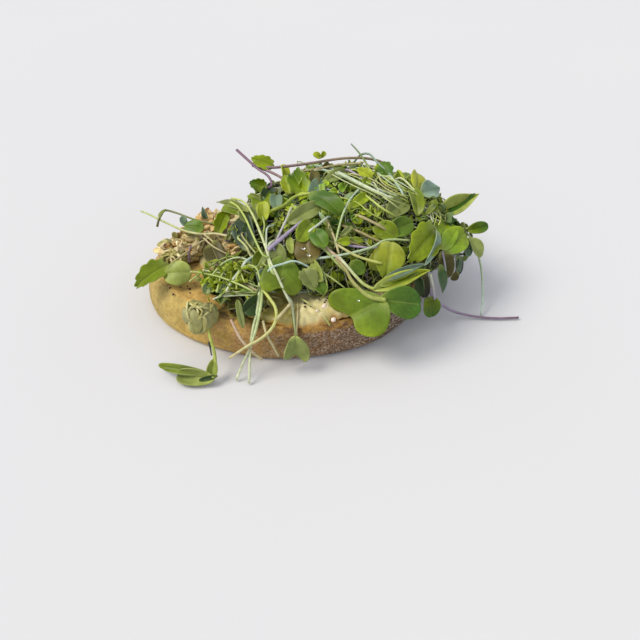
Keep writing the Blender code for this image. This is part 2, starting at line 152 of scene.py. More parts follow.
def leaf_skin(name, wash, wash_share, gloss_roughness):
    """Living leaf, a waxy skin over green flesh: fine pale veins, a soft shine, light through it."""
    material, tree, shader = new_material(name)
    along, across = blade_places(tree)
    green = mottled(tree, "tint", 0.75, "#C4C4B0", 3.0, low=0.25, high=0.75)
    washed = add(tree, "ShaderNodeMix", {0: wash_share, FIRST: green, SECOND: linear(wash)}, **COLOURS)
    off_rib = add(tree, "ShaderNodeMath", {0: across, 1: 0.5}, operation="SUBTRACT")
    from_rib = add(tree, "ShaderNodeMath", {0: off_rib}, operation="ABSOLUTE")
    slant = add(tree, "ShaderNodeMath", {0: from_rib, 1: -0.9, 2: along}, operation="MULTIPLY_ADD")
    turns = add(tree, "ShaderNodeMath", {0: slant, 1: SIDE_VEINS}, operation="MULTIPLY")
    wave = add(tree, "ShaderNodeMath", {0: turns}, operation="SINE")
    side_veins = add(tree, "ShaderNodeMapRange", {0: wave, 1: 0.86, 2: 1.0, 3: 0.0, 4: 0.07})
    rib = add(tree, "ShaderNodeMapRange", {0: from_rib, 1: 0.030, 2: 0.008, 3: 0.0, 4: 0.22})
    veins = add(tree, "ShaderNodeMath", {0: side_veins, 1: rib}, operation="MAXIMUM")
    foot = add(tree, "ShaderNodeMapRange", {0: along, 1: 0.25, 2: 0.0, 3: 0.0, 4: 0.50})
    paler = add(tree, "ShaderNodeMath", {0: veins, 1: foot}, operation="MAXIMUM")
    veined = add(tree, "ShaderNodeMix", {0: paler, FIRST: washed.outputs[MIXED],
                                         SECOND: linear(VEIN_COLOUR)}, **COLOURS).outputs[MIXED]
    finish_skin(tree, shader, veined, gloss_roughness, grain(tree, 0.9, 2.0), 0.35, 0.12)
    shader.inputs["Specular IOR Level"].default_value = 0.3
    through = add(tree, "ShaderNodeMix", {0: 0.5, FIRST: veined, SECOND: linear("#C6D23C")}, **MULTIPLY)
    let_light_through(tree, shader, through.outputs[MIXED], 0.30)
    return material


def stem_skin(name, gloss_roughness):
    """Juicy sprout stem, streaked along its length, wet looking and half clear."""
    material, tree, shader = new_material(name)
    skin = mottled(tree, "tint", 0.7, "#BFC0A8", 2.0)
    finish_skin(tree, shader, skin, gloss_roughness, grain(tree, 0.8, 2.0), 0.3, 0.1)
    let_light_through(tree, shader, skin, 0.2)
    return material


def baked_bread():
    """Wheat bread, oven baked: dry tan to brown crust dusted with flour, and a toasted crumb."""
    material, tree, shader = new_material("baked_wheat_bread")
    dust = add(tree, "ShaderNodeAttribute", attribute_name="dust").outputs["Fac"]
    crust = mottled(tree, "tone", 0.7, "#B4A48C", 2.2, 5.0, 0.7)
    pores = spots(tree, 1.1, 0.40, 0.52, WHITE, "#5E4A3C", 5.0, 0.85)
    pored = add(tree, "ShaderNodeMix", {0: 1.0, FIRST: crust, SECOND: pores}, **MULTIPLY).outputs[MIXED]
    rough_crust = add(tree, "ShaderNodeMix", {0: dust, FIRST: crust, SECOND: pored}, **COLOURS).outputs[MIXED]
    specks = spots(tree, 1.2, 0.49, 0.63, WHITE, BLACK, 4.0, 0.9)
    flour = add(tree, "ShaderNodeMath", {0: specks, 1: dust}, operation="MULTIPLY")
    floury = add(tree, "ShaderNodeMix", {0: flour, FIRST: rough_crust, SECOND: linear("#CABDAA")}, **COLOURS)
    finish_skin(tree, shader, floury.outputs[MIXED], 0.78, grain(tree, 0.9, 5.0, 0.7), 0.6, 0.35)
    shader.inputs["Specular IOR Level"].default_value = 0.3
    return material


def cream_cheese():
    """Soft fresh cheese, spread with a knife: cream white, satin, darker where oil has run over it and where
    shade under the greens is painted, and paler where light is painted in front of the heap.
    """
    material, tree, shader = new_material("soft_fresh_cheese")
    cream = mottled(tree, "tone", 0.6, "#D6CDA0", 3.5)
    finish_skin(tree, shader, cream, 0.38, grain(tree, 1.6, 3.0), 0.4, 0.25)
    shader.inputs["Subsurface Weight"].default_value = 0.25
    shader.inputs["Subsurface Radius"].default_value = (1.0, 0.8, 0.4)
    shader.inputs["Subsurface Scale"].default_value = 1.5 * MM
    return material


def grilled_artichoke():
    """Artichoke heart grilled in oil: olive and beige fleshy petals, fibres along them, browned rims."""
    material, tree, shader = new_material("grilled_artichoke_flesh")
    along, across = blade_places(tree)
    flesh = mottled(tree, "tint", 0.7, "#CDBB98", 2.5, 4.0)
    turns = add(tree, "ShaderNodeMath", {0: across, 1: 60.0}, operation="MULTIPLY")
    fibre = add(tree, "ShaderNodeMath", {0: turns}, operation="SINE")
    fibres = add(tree, "ShaderNodeMapRange", {0: fibre, 1: 0.2, 2: 1.0, 3: 0.0, 4: 0.15})
    fibrous = add(tree, "ShaderNodeMix", {0: fibres, FIRST: flesh, SECOND: linear("#8C7A4A")}, **COLOURS)
    tip = add(tree, "ShaderNodeMapRange", {0: along, 1: 0.72, 2: 1.0, 3: 0.0, 4: 0.85})
    patchy = add(tree, "ShaderNodeMath", {0: tip, 1: grain(tree, 2.0, 3.0)}, operation="MULTIPLY")
    browned = add(tree, "ShaderNodeMapRange", {0: patchy, 1: 0.25, 2: 0.6, 3: 0.0, 4: 0.6})
    charred = add(tree, "ShaderNodeMix", {0: browned, FIRST: fibrous.outputs[MIXED],
                                          SECOND: linear("#6E5030")}, **COLOURS)
    finish_skin(tree, shader, charred.outputs[MIXED], 0.42, fibre, 0.4, 0.15)
    return material


def shaded_greens():
    """The inside of the heap: packed stems and leaves that little light reaches, painted dark as their shade.
    """
    material, tree, shader = new_material("inner_greens_painted_shade")
    # painted shade: the heap's inside in dark green to near black
    dark = spots(tree, 4.0, 0.35, 0.65, "#2F3A17", "#101308", 4.0)
    finish_skin(tree, shader, dark, 0.7, grain(tree, 2.0, 4.0), 0.8, 1.0)
    return material


def plain_food(name, colour, shade, size, gloss_roughness):
    """A small dry or waxy bit of food with a mottled colour."""
    material, tree, shader = new_material(name)
    tree.links.new(spots(tree, size, 0.3, 0.7, colour, shade, 3.0), shader.inputs["Base Color"])
    shader.inputs["Roughness"].default_value = gloss_roughness
    return material


def clear_water():
    """A drop of water: clear, so it shows as a bright point over a magnified leaf."""
    material, _, shader = new_material("clear_water")
    shader.inputs["Base Color"].default_value = linear(WHITE)
    shader.inputs["Roughness"].default_value = 0.02
    shader.inputs["IOR"].default_value = 1.33
    shader.inputs["Transmission Weight"].default_value = 1.0
    return material


LEAF_FACE = leaf_skin("leaf_upper_skin", "#7C8A52", 0.0, 0.38)
LEAF_BACK = leaf_skin("leaf_underside", "#A9B884", 0.35, 0.55)
PALE_STEM = stem_skin("pale_sprout_stem", 0.32)
PURPLE_STEM = stem_skin("purple_sprout_stem", 0.36)
BREAD = baked_bread()
CHEESE = cream_cheese()
ARTICHOKE = grilled_artichoke()
INNER_SHADE = shaded_greens()
PEPPER = plain_food("cracked_black_pepper", "#2A221A", "#0E0B09", 0.5, 0.6)
FLAKES = plain_food("salt_flakes", "#F0DFCF", "#D8BFA8", 0.8, 0.4)
WATER = clear_water()

# Painted colours of the leaves, stems and artichoke petals, in sRGB
TINTS = {
    "fresh": "#839818",
    "bright": "#9AB012",
    "lime": "#BAC832",
    "mid": "#6B8C24",
    "deep": "#44701E",
    "dark": "#35501E",
    "grey": "#7A9478",
    "blue": "#94B09A",
    "pale": "#B0BE5C",
    "sage": "#929E58",
    "olive": "#665F28",
    "brown": "#7E6F36",
    "yellow": "#B4BA34",
    "stem_white": "#E2E8C8",
    "stem_green": "#C2D480",
    "stem_lime": "#CCD866",
    "stem_blue": "#C6DCD0",
    "stem_beige": "#D8CC9C",
    "stem_tan": "#B6A876",
    "lilac": "#B4A6C4",
    "plum": "#8A6A80",
    "pink": "#CCAE9C",
    "night": "#464C48",
    "flesh": "#D8C88E",
    "sage_flesh": "#A6A660",
    "brown_flesh": "#B08C50",
    "gold_flesh": "#E2C27C",
    "cream_flesh": "#DCD0A0",
    "pale_flesh": "#B2B678",
}


# ---------------------------------------------------------------- templates

def template(bm, own):
    """Arrays of a small mesh that many copies share. own gives each point's own coordinates."""
    bm.verts.index_update()
    return {
        "own": own,
        "corners": np.array([v.index for f in bm.faces for v in f.verts], np.int32),
        "sizes": np.array([len(f.verts) for f in bm.faces], np.int32),
        "finish": np.array([f.material_index for f in bm.faces], np.int32),
        "smooth": np.array([f.smooth for f in bm.faces], bool),
    }


def blade_template(cells):
    """A closed flat blade: x and y from -1 to 1 over its face, and 1 above or -1 below as its side."""
    bm = bmesh.new()
    bmesh.ops.create_grid(bm, x_segments=cells, y_segments=cells, size=1.0)
    bmesh.ops.solidify(bm, geom=bm.faces[:], thickness=1.0)
    middle = sum(v.co.z for v in bm.verts) / len(bm.verts)
    bm.normal_update()
    for face in bm.faces:
        face.smooth = abs(face.normal.z) > 0.5
        face.material_index = 0 if face.normal.z > 0.5 else 1
    own = np.array([(v.co.x, v.co.y, 1.0 if v.co.z > middle else -1.0) for v in bm.verts])
    made = template(bm, own)
    bm.free()
    return made


def tube_template(rings, sides):
    """A closed straight tube: turn round it, share of its length, and 1 as its radius."""
    bm = bmesh.new()
    bmesh.ops.create_cone(bm, cap_ends=True, cap_tris=False, segments=sides, radius1=1.0,
                          radius2=1.0, depth=1.0)
    lengthwise = [e for e in bm.edges if abs(e.verts[0].co.z - e.verts[1].co.z) > 0.5]
    bmesh.ops.subdivide_edges(bm, edges=lengthwise, cuts=rings - 2)
    bm.normal_update()
    for face in bm.faces:
        face.smooth = abs(face.normal.z) < 0.5
    own = np.array([(math.atan2(v.co.y, v.co.x), v.co.z + 0.5, 1.0) for v in bm.verts])
    made = template(bm, own)
    made["rings"] = rings
    bm.free()
    return made


def ball_template(detail):
    """A closed ball of radius 1."""
    bm = bmesh.new()
    bmesh.ops.create_icosphere(bm, subdivisions=detail, radius=1.0)
    for face in bm.faces:
        face.smooth = True
    made = template(bm, np.array([v.co[:] for v in bm.verts]))
    bm.free()
    return made


FINE_BLADE = blade_template(16)
PLAIN_BLADE = blade_template(6)
PETAL_BLADE = blade_template(10)
FINE_TUBE = tube_template(26, 8)
PLAIN_TUBE = tube_template(9, 5)
SMALL_BALL = ball_template(2)
GRAIN_BALL = ball_template(1)


# ---------------------------------------------------------------- leaf shapes

# Depths and widths here are shares of a blade's length or of half its width
HEART_NOTCH = 0.22                  # depth of a seed leaf's notch
HEART_NOTCH_WIDTH = 0.36            # and how wide it opens
TOOTH_DEPTH = 0.17
TEETH_TURN = 5.5                    # teeth in half a turn
LOBE_DEPTH = 0.24
RIB_DEPTH = 0.05                    # the groove along the middle
RIB_WIDTH = 0.09
PROBE = 0.02                        # how far beside a point its surface is looked at
ROUTE_STEPS = 12                    # points to each span of a route
OFF_AXIS = (0.31, 0.17, 0.94)       # a direction that no stem runs along


def on_disc(x, y):
    """Spread a square's points evenly over a disc."""
    return x * np.sqrt(1.0 - 0.5 * y * y), y * np.sqrt(1.0 - 0.5 * x * x)


def inner(along):
    """How far along, kept between foot and tip."""
    return np.clip(along, 0.0, 1.0)


# How wide each shape is along its length, as a share of half its width
WIDTHS = {
    "round": lambda along: 1.0,
    "oval": lambda along: 0.82 + 0.30 * inner(along) * (1.0 - 0.5 * along),
    "lobed": lambda along: 0.82 + 0.30 * inner(along) * (1.0 - 0.5 * along),
    "lance": lambda along: 1.12 - 0.85 * inner(along) ** 2.2,
    "toothed": lambda along: 1.12 - 0.66 * inner(along) ** 2,
    "heart": lambda along: 0.56 + 0.60 * inner(along) ** 0.8,
    "fan": lambda along: 0.50 + 0.62 * inner(along),
}


def outline(shape, p, q):
    """How far along and across a blade a disc's points lie: its width, and its teeth, lobes or notch."""
    turn = np.arctan2(q, p)
    cut = 1.0
    if shape == "toothed":          # as on mustard and radish leaves
        cut = 1.0 - TOOTH_DEPTH * np.hypot(p, q) ** 4 * (1.0 - np.abs(np.sin(TEETH_TURN * turn)))
    elif shape == "lobed":          # three blunt lobes, as on a small true leaf
        cut = 1.0 - LOBE_DEPTH * np.hypot(p, q) ** 3 * (0.5 - 0.5 * np.cos(3.0 * turn + math.pi))
    along = 0.5 * (p * cut + 1.0)
    across = q * cut * WIDTHS[shape](along)
    if shape == "heart":            # a notch between two round lobes, as a radish seed leaf has
        along = along - HEART_NOTCH * np.exp(-(q / HEART_NOTCH_WIDTH) ** 2) * inner(along) ** 3
    return along, across


def blade_surface(x, y, form):
    """Middle surface of a blade in mm: foot at the origin, tip on +X, face to +Z."""
    p, q = on_disc(x, y)
    along, across = outline(form["shape"], p, q)
    half = 0.5 * form["width"]
    fold = math.radians(form["fold"])
    side = half * across
    ruffle = form["ruffle"] * half * np.hypot(p, q) ** 3
    wave = ruffle * np.sin(form["waves"] * np.arctan2(q, p) + form["phase"])
    rib = -RIB_DEPTH * half * np.exp(-(across / RIB_WIDTH) ** 2)
    rise = half * form["cup"] * across ** 2 + wave + rib + np.abs(side) * math.sin(fold)
    side = side * math.cos(fold)
    turn = math.radians(form["twist"]) * along
    side, rise = side * np.cos(turn) - rise * np.sin(turn), side * np.sin(turn) + rise * np.cos(turn)
    bend = math.radians(form["bend"]) or 1e-4       # a flat blade bends a hair, so the arc has a radius
    arc = form["length"] * 0.5 * bend / math.sin(0.5 * bend)
    radius = arc / bend
    start = -0.5 * bend
    swing = bend * along + start
    out = radius * (np.sin(swing) - math.sin(start)) + rise * np.sin(swing) + form["shear"] * side
    lift = radius * (np.cos(swing) - math.cos(start)) + rise * np.cos(swing)
    return np.stack([out, side, lift], 1)


def unit(vector):
    return np.asarray(vector, float) / max(1e-9, float(np.linalg.norm(vector)))


def blade_points(blade, form, base, tip, facing, thickness):
    """Where a blade's points go, from its foot to its tip with its face turned towards facing."""
    x, y, side = blade["own"].T
    middle = blade_surface(x, y, form)
    out = np.cross(blade_surface(x + PROBE, y, form) - middle, blade_surface(x, y + PROBE, form) - middle)
    out /= np.maximum(np.linalg.norm(out, axis=1, keepdims=True), 1e-9)
    local = middle + out * side[:, None] * 0.5 * thickness
    forward = unit(np.subtract(tip, base))
    left = unit(np.cross(facing, forward))
    return np.asarray(base, float) + local @ np.stack([forward, left, np.cross(forward, left)])


def smooth_route(points, count):
    """Even points on a smooth curve through a route's own points."""
    knots = np.array(points, float)
    ends = np.vstack([2 * knots[0] - knots[1], knots, 2 * knots[-1] - knots[-2]])
    path = []
    for before, start, end, after in zip(ends, ends[1:], ends[2:], ends[3:]):
        t = np.linspace(0.0, 1.0, ROUTE_STEPS, endpoint=False)[:, None]
        square = 2 * before - 5 * start + 4 * end - after
        cube = 3 * (start - end) + after - before
        path.append(start + 0.5 * t * (end - before + t * (square + t * cube)))
    path = np.vstack([*path, knots[-1:]])
    gone = np.concatenate([[0.0], np.cumsum(np.linalg.norm(np.diff(path, axis=0), axis=1))])
    wanted = np.linspace(0.0, gone[-1], count)
    return np.stack([np.interp(wanted, gone, path[:, axis]) for axis in range(3)], 1)


def tube_points(tube, route, thick, thin):
    """Where a tube's points go along a route, from one radius to another."""
    turn, share, _ = tube["own"].T
    path = smooth_route(route, tube["rings"])
    ahead = np.gradient(path, axis=0)
    ahead /= np.linalg.norm(ahead, axis=1, keepdims=True)
    across = np.cross(ahead, unit(OFF_AXIS))
    across /= np.maximum(np.linalg.norm(across, axis=1, keepdims=True), 1e-6)
    other = np.cross(ahead, across)
    ring = np.rint(share * (tube["rings"] - 1)).astype(int)
    radius = (thick + (thin - thick) * share)[:, None]
    spoke = np.cos(turn)[:, None] * across[ring] + np.sin(turn)[:, None] * other[ring]
    return path[ring] + radius * spoke


# ---------------------------------------------------------------- bunches of leaves and stems

PALE_MARGIN = np.array((0.32, 0.26, 0.30))      # how much paler a blade is along its rim
BLADE_PATCHES = 0.13                            # how much its colour comes and goes over its face
GREENS_FINISHES = (LEAF_FACE, LEAF_BACK, PALE_STEM, PURPLE_STEM)
PALE, PURPLE = 2, 3                             # places of the two stem finishes among them


def ease(value, low, high):
    """0 below low, 1 above high, and smooth between."""
    share = np.clip((value - low) / (high - low), 0.0, 1.0)
    return share * share * (3.0 - 2.0 * share)


def blended(share, tint, end_tint, shade):
    """Colour at each share of the way from one tint to another."""
    first, last = rgb(TINTS[tint]) * shade, rgb(TINTS[end_tint or tint]) * shade
    return first + (last - first) * share[:, None]


class Bunch:
    """Leaves, stems and grains that become one piece."""

    def __init__(self, name, finishes=GREENS_FINISHES):
        self.name = name
        self.finishes = finishes
        self.parts = []

    def leaf(self, shape, base, tip, width, tint="fresh", facing=(-0.1, -0.5, 0.85), cup=0.18, bend=30.0,
             fold=16.0, ruffle=0.12, waves=3.0, phase=None, twist=0.0, shear=0.0, thickness=0.4,
             blade=FINE_BLADE, tip_tint=None, shade=1.0):
        """One blade from its foot to its tip. Sizes are in mm, turns in degrees."""
        if phase is None:
            phase = 1.7 * base[0] + base[1]
        form = {"shape": shape, "width": width, "length": float(np.linalg.norm(np.subtract(tip, base))),
                "cup": cup, "bend": bend, "fold": fold, "ruffle": ruffle, "waves": waves,
                "phase": phase, "twist": twist, "shear": shear}
        points = blade_points(blade, form, base, tip, facing, thickness)
        x, y, _ = blade["own"].T
        p, q = on_disc(x, y)
        along, across = outline(shape, p, q)
        margin = ease(np.hypot(p, q), 0.86, 1.0)[:, None]
        broad = np.sin(2.6 * x + phase) * np.sin(2.1 * y + 1.7 * phase)
        patchy = broad + 0.5 * np.sin(5.0 * x - 3.0 * y + phase)
        colour = blended(inner(along), tint, tip_tint, shade)
        colour = colour * (1.0 + PALE_MARGIN * margin) * (1.0 + BLADE_PATCHES * patchy[:, None])
        self.parts.append((blade, points, np.stack([along, 0.5 + 0.5 * across], 1), colour, 0))

    def stem(self, route, radius, tint="stem_green", end_tint=None, thin=None, tube=FINE_TUBE, shade=1.0,
             finish=PALE):
        """One stem along a route, in mm."""
        turn, share, _ = tube["own"].T
        points = tube_points(tube, route, radius, radius if thin is None else thin)
        colour = blended(share, tint, end_tint, shade)
        self.parts.append((tube, points, np.stack([share, turn / math.tau + 0.5], 1), colour, finish))

    def ball(self, ball, middle, radii, turn=0.0):
        """One rounded grain or drop, in mm."""
        spin = np.array(Matrix.Rotation(turn, 3, "Z") @ Matrix.Rotation(1.7 * turn, 3, "X"))
        points = np.asarray(middle, float) + (ball["own"] * np.asarray(radii)) @ spin.T
        self.parts.append((ball, points, ball["own"][:, :2], np.ones((len(points), 3)), 0))

    def joined(self, array):
        """One of the templates' arrays, by its name, for all parts one after the other."""
        return np.concatenate([shape[array] for shape, *_ in self.parts])

    def finish(self, slot, *nodes):
        """Join everything into one piece that rides on the sandwich."""
        mesh = bpy.data.meshes.new(self.name)
        counts = [len(points) for _, points, *_ in self.parts]
        firsts = np.concatenate([[0], np.cumsum(counts)[:-1]])
        corners = [shape["corners"] + first for (shape, *_), first in zip(self.parts, firsts)]
        corners = np.concatenate(corners)
        sizes = self.joined("sizes")
        slots = np.concatenate([shape["finish"] + finish for shape, _, _, _, finish in self.parts])
        mesh.vertices.add(sum(counts))
        mesh.loops.add(len(corners))
        mesh.polygons.add(len(sizes))
        mesh.vertices.foreach_set("co", (np.vstack([part[1] for part in self.parts]) * MM).ravel())
        mesh.loops.foreach_set("vertex_index", corners.astype(np.int32))
        mesh.polygons.foreach_set("loop_start", (np.cumsum(sizes) - sizes).astype(np.int32))
        mesh.polygons.foreach_set("material_index", slots.astype(np.int32))
        mesh.update(calc_edges=True)
        mesh.polygons.foreach_set("use_smooth", self.joined("smooth"))
        set_own(mesh, np.vstack([part[2] for part in self.parts]), corners)
        set_tone(mesh, np.vstack([part[3] for part in self.parts]), "tint")
        for finish in self.finishes:
            mesh.materials.append(finish)
        add_piece(self.name, mesh, slot, *nodes)


def set_own(mesh, own, corners):
    """Give each corner of a mesh its point's own pair of coordinates."""
    layer = mesh.uv_layers.new(name="UVMap")
    layer.data.foreach_set("uv", own[corners].astype(np.float32).ravel())


def set_tone(mesh, colours, name="tone"):
    """Paint a mesh's points."""
    tone = mesh.attributes.new(name, "FLOAT_COLOR", "POINT")
    rgba = np.hstack([colours, np.ones((len(colours), 1))])
    tone.data.foreach_set("color", rgba.astype(np.float32).ravel())


def add_piece(name, mesh, slot, *nodes):
    """Put a finished mesh in the scene as a piece of the sandwich."""
    piece = bpy.data.objects.new(name, mesh)
    bpy.context.scene.collection.objects.link(piece)
    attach(piece, "root")
    if nodes:
        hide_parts(*nodes)


# ---------------------------------------------------------------- remeshed solids

def fine_copy(node, cell):
    """A CAD node's shape as an even mesh with cells of a size in mm."""
    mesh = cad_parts[node].data.copy()
    bm = bmesh.new()
    bm.from_mesh(mesh)
    bmesh.ops.remove_doubles(bm, verts=bm.verts, dist=0.01 * MM)
    bm.to_mesh(mesh)
    bm.free()
    guide = bpy.data.objects.new(node + "_guide", mesh)
    bpy.context.scene.collection.objects.link(guide)
    remesh = guide.modifiers.new("even", "REMESH")
    remesh.mode = "VOXEL"
    remesh.voxel_size = cell * MM
    smooth = guide.modifiers.new("soften", "SMOOTH")
    smooth.iterations = 3
    evaluated = guide.evaluated_get(bpy.context.evaluated_depsgraph_get())
    fine = bpy.data.meshes.new_from_object(evaluated)
    bpy.data.objects.remove(guide, do_unlink=True)
    fine.materials.clear()
    fine.shade_smooth()
    return fine


def points_and_normals(mesh):
    """A mesh's points in mm and its normals, as arrays."""
    count = len(mesh.vertices)
    points = np.empty(count * 3, np.float32)
    normals = np.empty(count * 3, np.float32)
    mesh.vertices.foreach_get("co", points)
    mesh.vertex_normals.foreach_get("vector", normals)
    return points.reshape(-1, 3).astype(float) / MM, normals.reshape(-1, 3).astype(float)


def set_points(mesh, points):
    """Move a mesh's points to places in mm."""
    mesh.vertices.foreach_set("co", (points * MM).astype(np.float32).ravel())
    mesh.update()


def skin_of(node):
    """Search tree over a CAD node's faces, in mm."""
    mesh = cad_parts[node].data
    return BVHTree.FromPolygons([v.co / MM for v in mesh.vertices], [p.vertices[:] for p in mesh.polygons])


def box_of(node):
    """Low and high corner of a CAD node, in mm."""
    return tuple(np.array(corner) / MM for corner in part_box(node))


def rough(points, size, shift=0.0, stretch=(1.0, 1.0, 1.0)):
    """Noise from about -1 to 1 with features of a size in mm, at each point."""
    scaled = (points * np.array(stretch) / size + shift).tolist()
    return np.array([noise.noise(place) for place in scaled])


def pits(points, size, shift=0.0):
    """Distance to the nearest of scattered points a size in mm apart, as a share of that size."""
    scaled = (points / size + shift).tolist()
    return np.array([noise.voronoi(place)[0][0] for place in scaled])


def blend_round(angle, stops):
    """Colour at each angle in degrees, blended between stops that go once round."""
    places = [stop[0] for stop in stops]
    places = np.array([places[-1] - 360.0, *places, places[0] + 360.0])
    colours = np.array([rgb(stop[1]) for stop in stops])
    colours = np.vstack([colours[-1], colours, colours[0]])
    return np.stack([np.interp(angle, places, colours[:, channel]) for channel in range(3)], 1)


def coated(colours, *coats):
    """Colours under coats laid one over the other, each a colour and its share at every point."""
    for colour, share in coats:
        colours = colours + (rgb(colour) - colours) * np.clip(share, 0.0, 1.0)[:, None]
    return colours


# ---------------------------------------------------------------- bread and cheese

# Crust colour round the slice, by angle in degrees from +X towards the back
CRUST_TONES = (
    (20.0, "#7C6854"), (90.0, "#9A7248"), (140.0, "#AE8C50"), (178.0, "#AE9858"), (205.0, "#BAA560"),
    (222.0, "#CEB05E"), (238.0, "#D0AC5A"), (250.0, "#C0984E"), (262.0, "#A27E4E"), (280.0, "#84623F"),
    (310.0, "#58402E"), (345.0, "#6E6860"),
)
# How floury the crust is, by the same angle
CRUST_DUST = (
    (0.0, 0.8), (90.0, 0.3), (150.0, 0.05), (225.0, 0.05), (240.0, 0.2), (256.0, 0.6), (300.0, 0.9),
    (360.0, 0.8),
)
# Colour of the toasted face, by the same angle
TOAST_TONES = (
    (90.0, "#C09A58"), (180.0, "#CCAC62"), (220.0, "#C8A65C"), (250.0, "#A8843E"), (300.0, "#A88040"),
)
GOLDEN = "#CFA654"                  # light bits of toast under oil


def slice_places(points, normals):
    """Of each point of the slice: angle round it, share of the way out, way out, and how much it is crumb."""
    low, high = box_of("bread_slice")
    half = 0.5 * (high - low)
    aside = (points - 0.5 * (high + low))[:, :2]
    angle = np.degrees(np.arctan2(aside[:, 1] / half[1], aside[:, 0] / half[0])) % 360.0
    reach = np.hypot(aside[:, 0] / half[0], aside[:, 1] / half[1])
    away = aside / np.maximum(np.linalg.norm(aside, axis=1), 1.0)[:, None]
    crumb = ease(normals[:, 2], 0.80, 0.95) * ease(points[:, 2], 18.4, 19.8)
    return angle, reach, away, crumb


def crumb_relief(points, crackle, large, small):
    """Height of the toasted face in mm, with holes of two sizes opened where nothing lies on it."""
    bare = ease(points[:, 0], -62.0, -40.0)
    swell = 0.35 * rough(points, 9.0, 3.0)
    holes = 1.3 * bare * ease(0.34 - large, 0.0, 0.25) + 0.5 * bare * ease(0.36 - small, 0.0, 0.25)
    return swell - holes + 0.12 * crackle


def crust_colour(points, angle, dust, lumpy, streaks):
    """Crust below its rim: tones round the slice, blotches, and at the left a painted highlight along its
    foot and a red blush.
    """
    blotches = 0.16 * streaks + 0.10 * lumpy + 0.16 * rough(points, 3.2, 21.0)
    tone = blend_round(angle + 9.0 * rough(points, 16.0, 7.0), CRUST_TONES)
    tone *= (1.0 + blotches + 0.35 * dust * rough(points, 6.0, 13.0))[:, None]
    left = ease(angle, 150.0, 190.0) * ease(240.0 - angle, 0.0, 20.0)
    # painted highlight: a pale golden band along the crust's foot at the left
    foot = ease(7.0 - points[:, 2], 0.0, 6.0) * left * ease(rough(points, 3.0, 8.0), -0.2, 0.4)
    blush = ease(16.0 - np.abs(angle - 240.0), 0.0, 10.0) * ease(lumpy, -0.2, 0.5)
    return coated(tone, ("#E2C67E", 0.6 * foot), ("#B07A70", 0.30 * blush))


def rim_coats(points, angle, rim):
    """Coats of the rim where the crust meets the crumb, caramelised along the front."""
    burnt = ease(rough(points, 3.2, 6.0), -0.25, 0.2)
    front = rim * ease(angle, 215.0, 240.0) * ease(345.0 - angle, 0.0, 20.0)
    caramel = rim * ease(angle, 250.0, 262.0) * ease(304.0 - angle, 0.0, 14.0)
    return ("#B08A50", 0.6 * front), ("#B0842F", 0.8 * caramel), ("#63401C", 0.9 * caramel * burnt)


def toast_colour(points, angle, large, oil_and_shade, bits):
    """The crumb: toasted by angle, with painted shade in its holes, and olive with bits at the front left,
    partly where oil ran over it and partly painted shade under the greens.
    """
    toast = blend_round(angle, TOAST_TONES) * (1.0 + 0.2 * rough(points, 5.0, 1.0))[:, None]
    return coated(toast,
                  # painted shade in the crumb's holes
                  ("#6E4A20", 0.6 * ease(0.32 - large, 0.0, 0.2)),
                  # partly oil, partly painted shade under the greens: the olive coats and dark bits
                  ("#8C8440", 0.8 * oil_and_shade),
                  ("#6E5A28", 0.7 * oil_and_shade * ease(rough(points, 4.5, 12.0), -0.15, 0.35)),
                  ("#46341A", 0.75 * oil_and_shade * ease(bits, 0.12, 0.4)),
                  (GOLDEN, 0.8 * oil_and_shade * ease(-bits, 0.18, 0.42)))


def bake_bread():
    """The slice: bumpy crust with streaks and flour, a caramelised rim and a toasted, pored crumb."""
    mesh = fine_copy("bread_slice", 0.9)
    points, normals = points_and_normals(mesh)
    angle, reach, away, crumb = slice_places(points, normals)
    x, y, height = points.T
    front_right = ease(angle, 236.0, 256.0) * ease(314.0 - angle, 0.0, 24.0)
    fuller = front_right * ease(reach, 0.62, 0.95) * (1.6 + 1.5 * ease(height, 8.0, 17.0))
    points[:, :2] += away * fuller[:, None]

    lumpy = rough(points, 7.0) + 0.5 * rough(points, 3.0, 5.0)
    crackle = rough(points, 1.9, 9.0)
    streaks = rough(points, 4.0, 2.0, (1.0, 1.0, 0.14))
    large, small = pits(points, 3.6), pits(points, 1.9, 4.0)
    dust = np.interp(angle, *zip(*CRUST_DUST))
    crust_push = 0.30 * lumpy + (0.10 + 0.16 * dust) * crackle + 0.14 * streaks
    push = crust_push * (1.0 - crumb) + crumb_relief(points, crackle, large, small) * crumb
    set_points(mesh, points + normals * (push * ease(height, 0.6, 3.0))[:, None])

    rim_edge = 17.6 + 1.4 * rough(points, 5.0, 3.0, (1.0, 1.0, 0.2))
    rim = ease(height - rim_edge, -0.6, 0.8) * (1.0 - crumb)
    # partly oil, partly painted shade under the greens: the front left is coated olive with dark and golden
    # bits
    oil_and_shade = ease(-x, 12.0, 20.0) * ease(x, -50.0, -42.0) * ease(-y, 33.0, 40.0)
    shoulder = oil_and_shade * ease(normals[:, 2], 0.30, 0.65) * (1.0 - crumb)
    bits = rough(points, 2.4, 15.0)
    crust = coated(crust_colour(points, angle, dust, lumpy, streaks),
                   *rim_coats(points, angle, rim),
                   # the same on the crust's shoulder: partly oil, partly painted shade
                   ("#94803E", 0.65 * shoulder),
                   ("#553A1A", 0.75 * shoulder * ease(bits, 0.05, 0.35)),
                   (GOLDEN, 0.7 * shoulder * ease(-bits, 0.15, 0.4)))
    toast = toast_colour(points, angle, large, oil_and_shade, bits)
    set_tone(mesh, np.clip(crust * (1.0 - crumb[:, None]) + toast * crumb[:, None], 0.0, 1.0))
    dusty = mesh.attributes.new("dust", "FLOAT", "POINT")
    dusty.data.foreach_set("value", (dust * (1.0 - 0.9 * crumb) * (1.0 - 0.7 * rim)).astype(np.float32))
    mesh.materials.append(BREAD)
    add_piece("toasted_bread", mesh, "crust", "bread_slice")


def hump(points, x, y, wide, deep):
    """How close points are to a spot seen from above: 0 there, 1 at a width and depth from it."""
    return ((points[:, 0] - x) / wide) ** 2 + ((points[:, 1] - y) / deep) ** 2


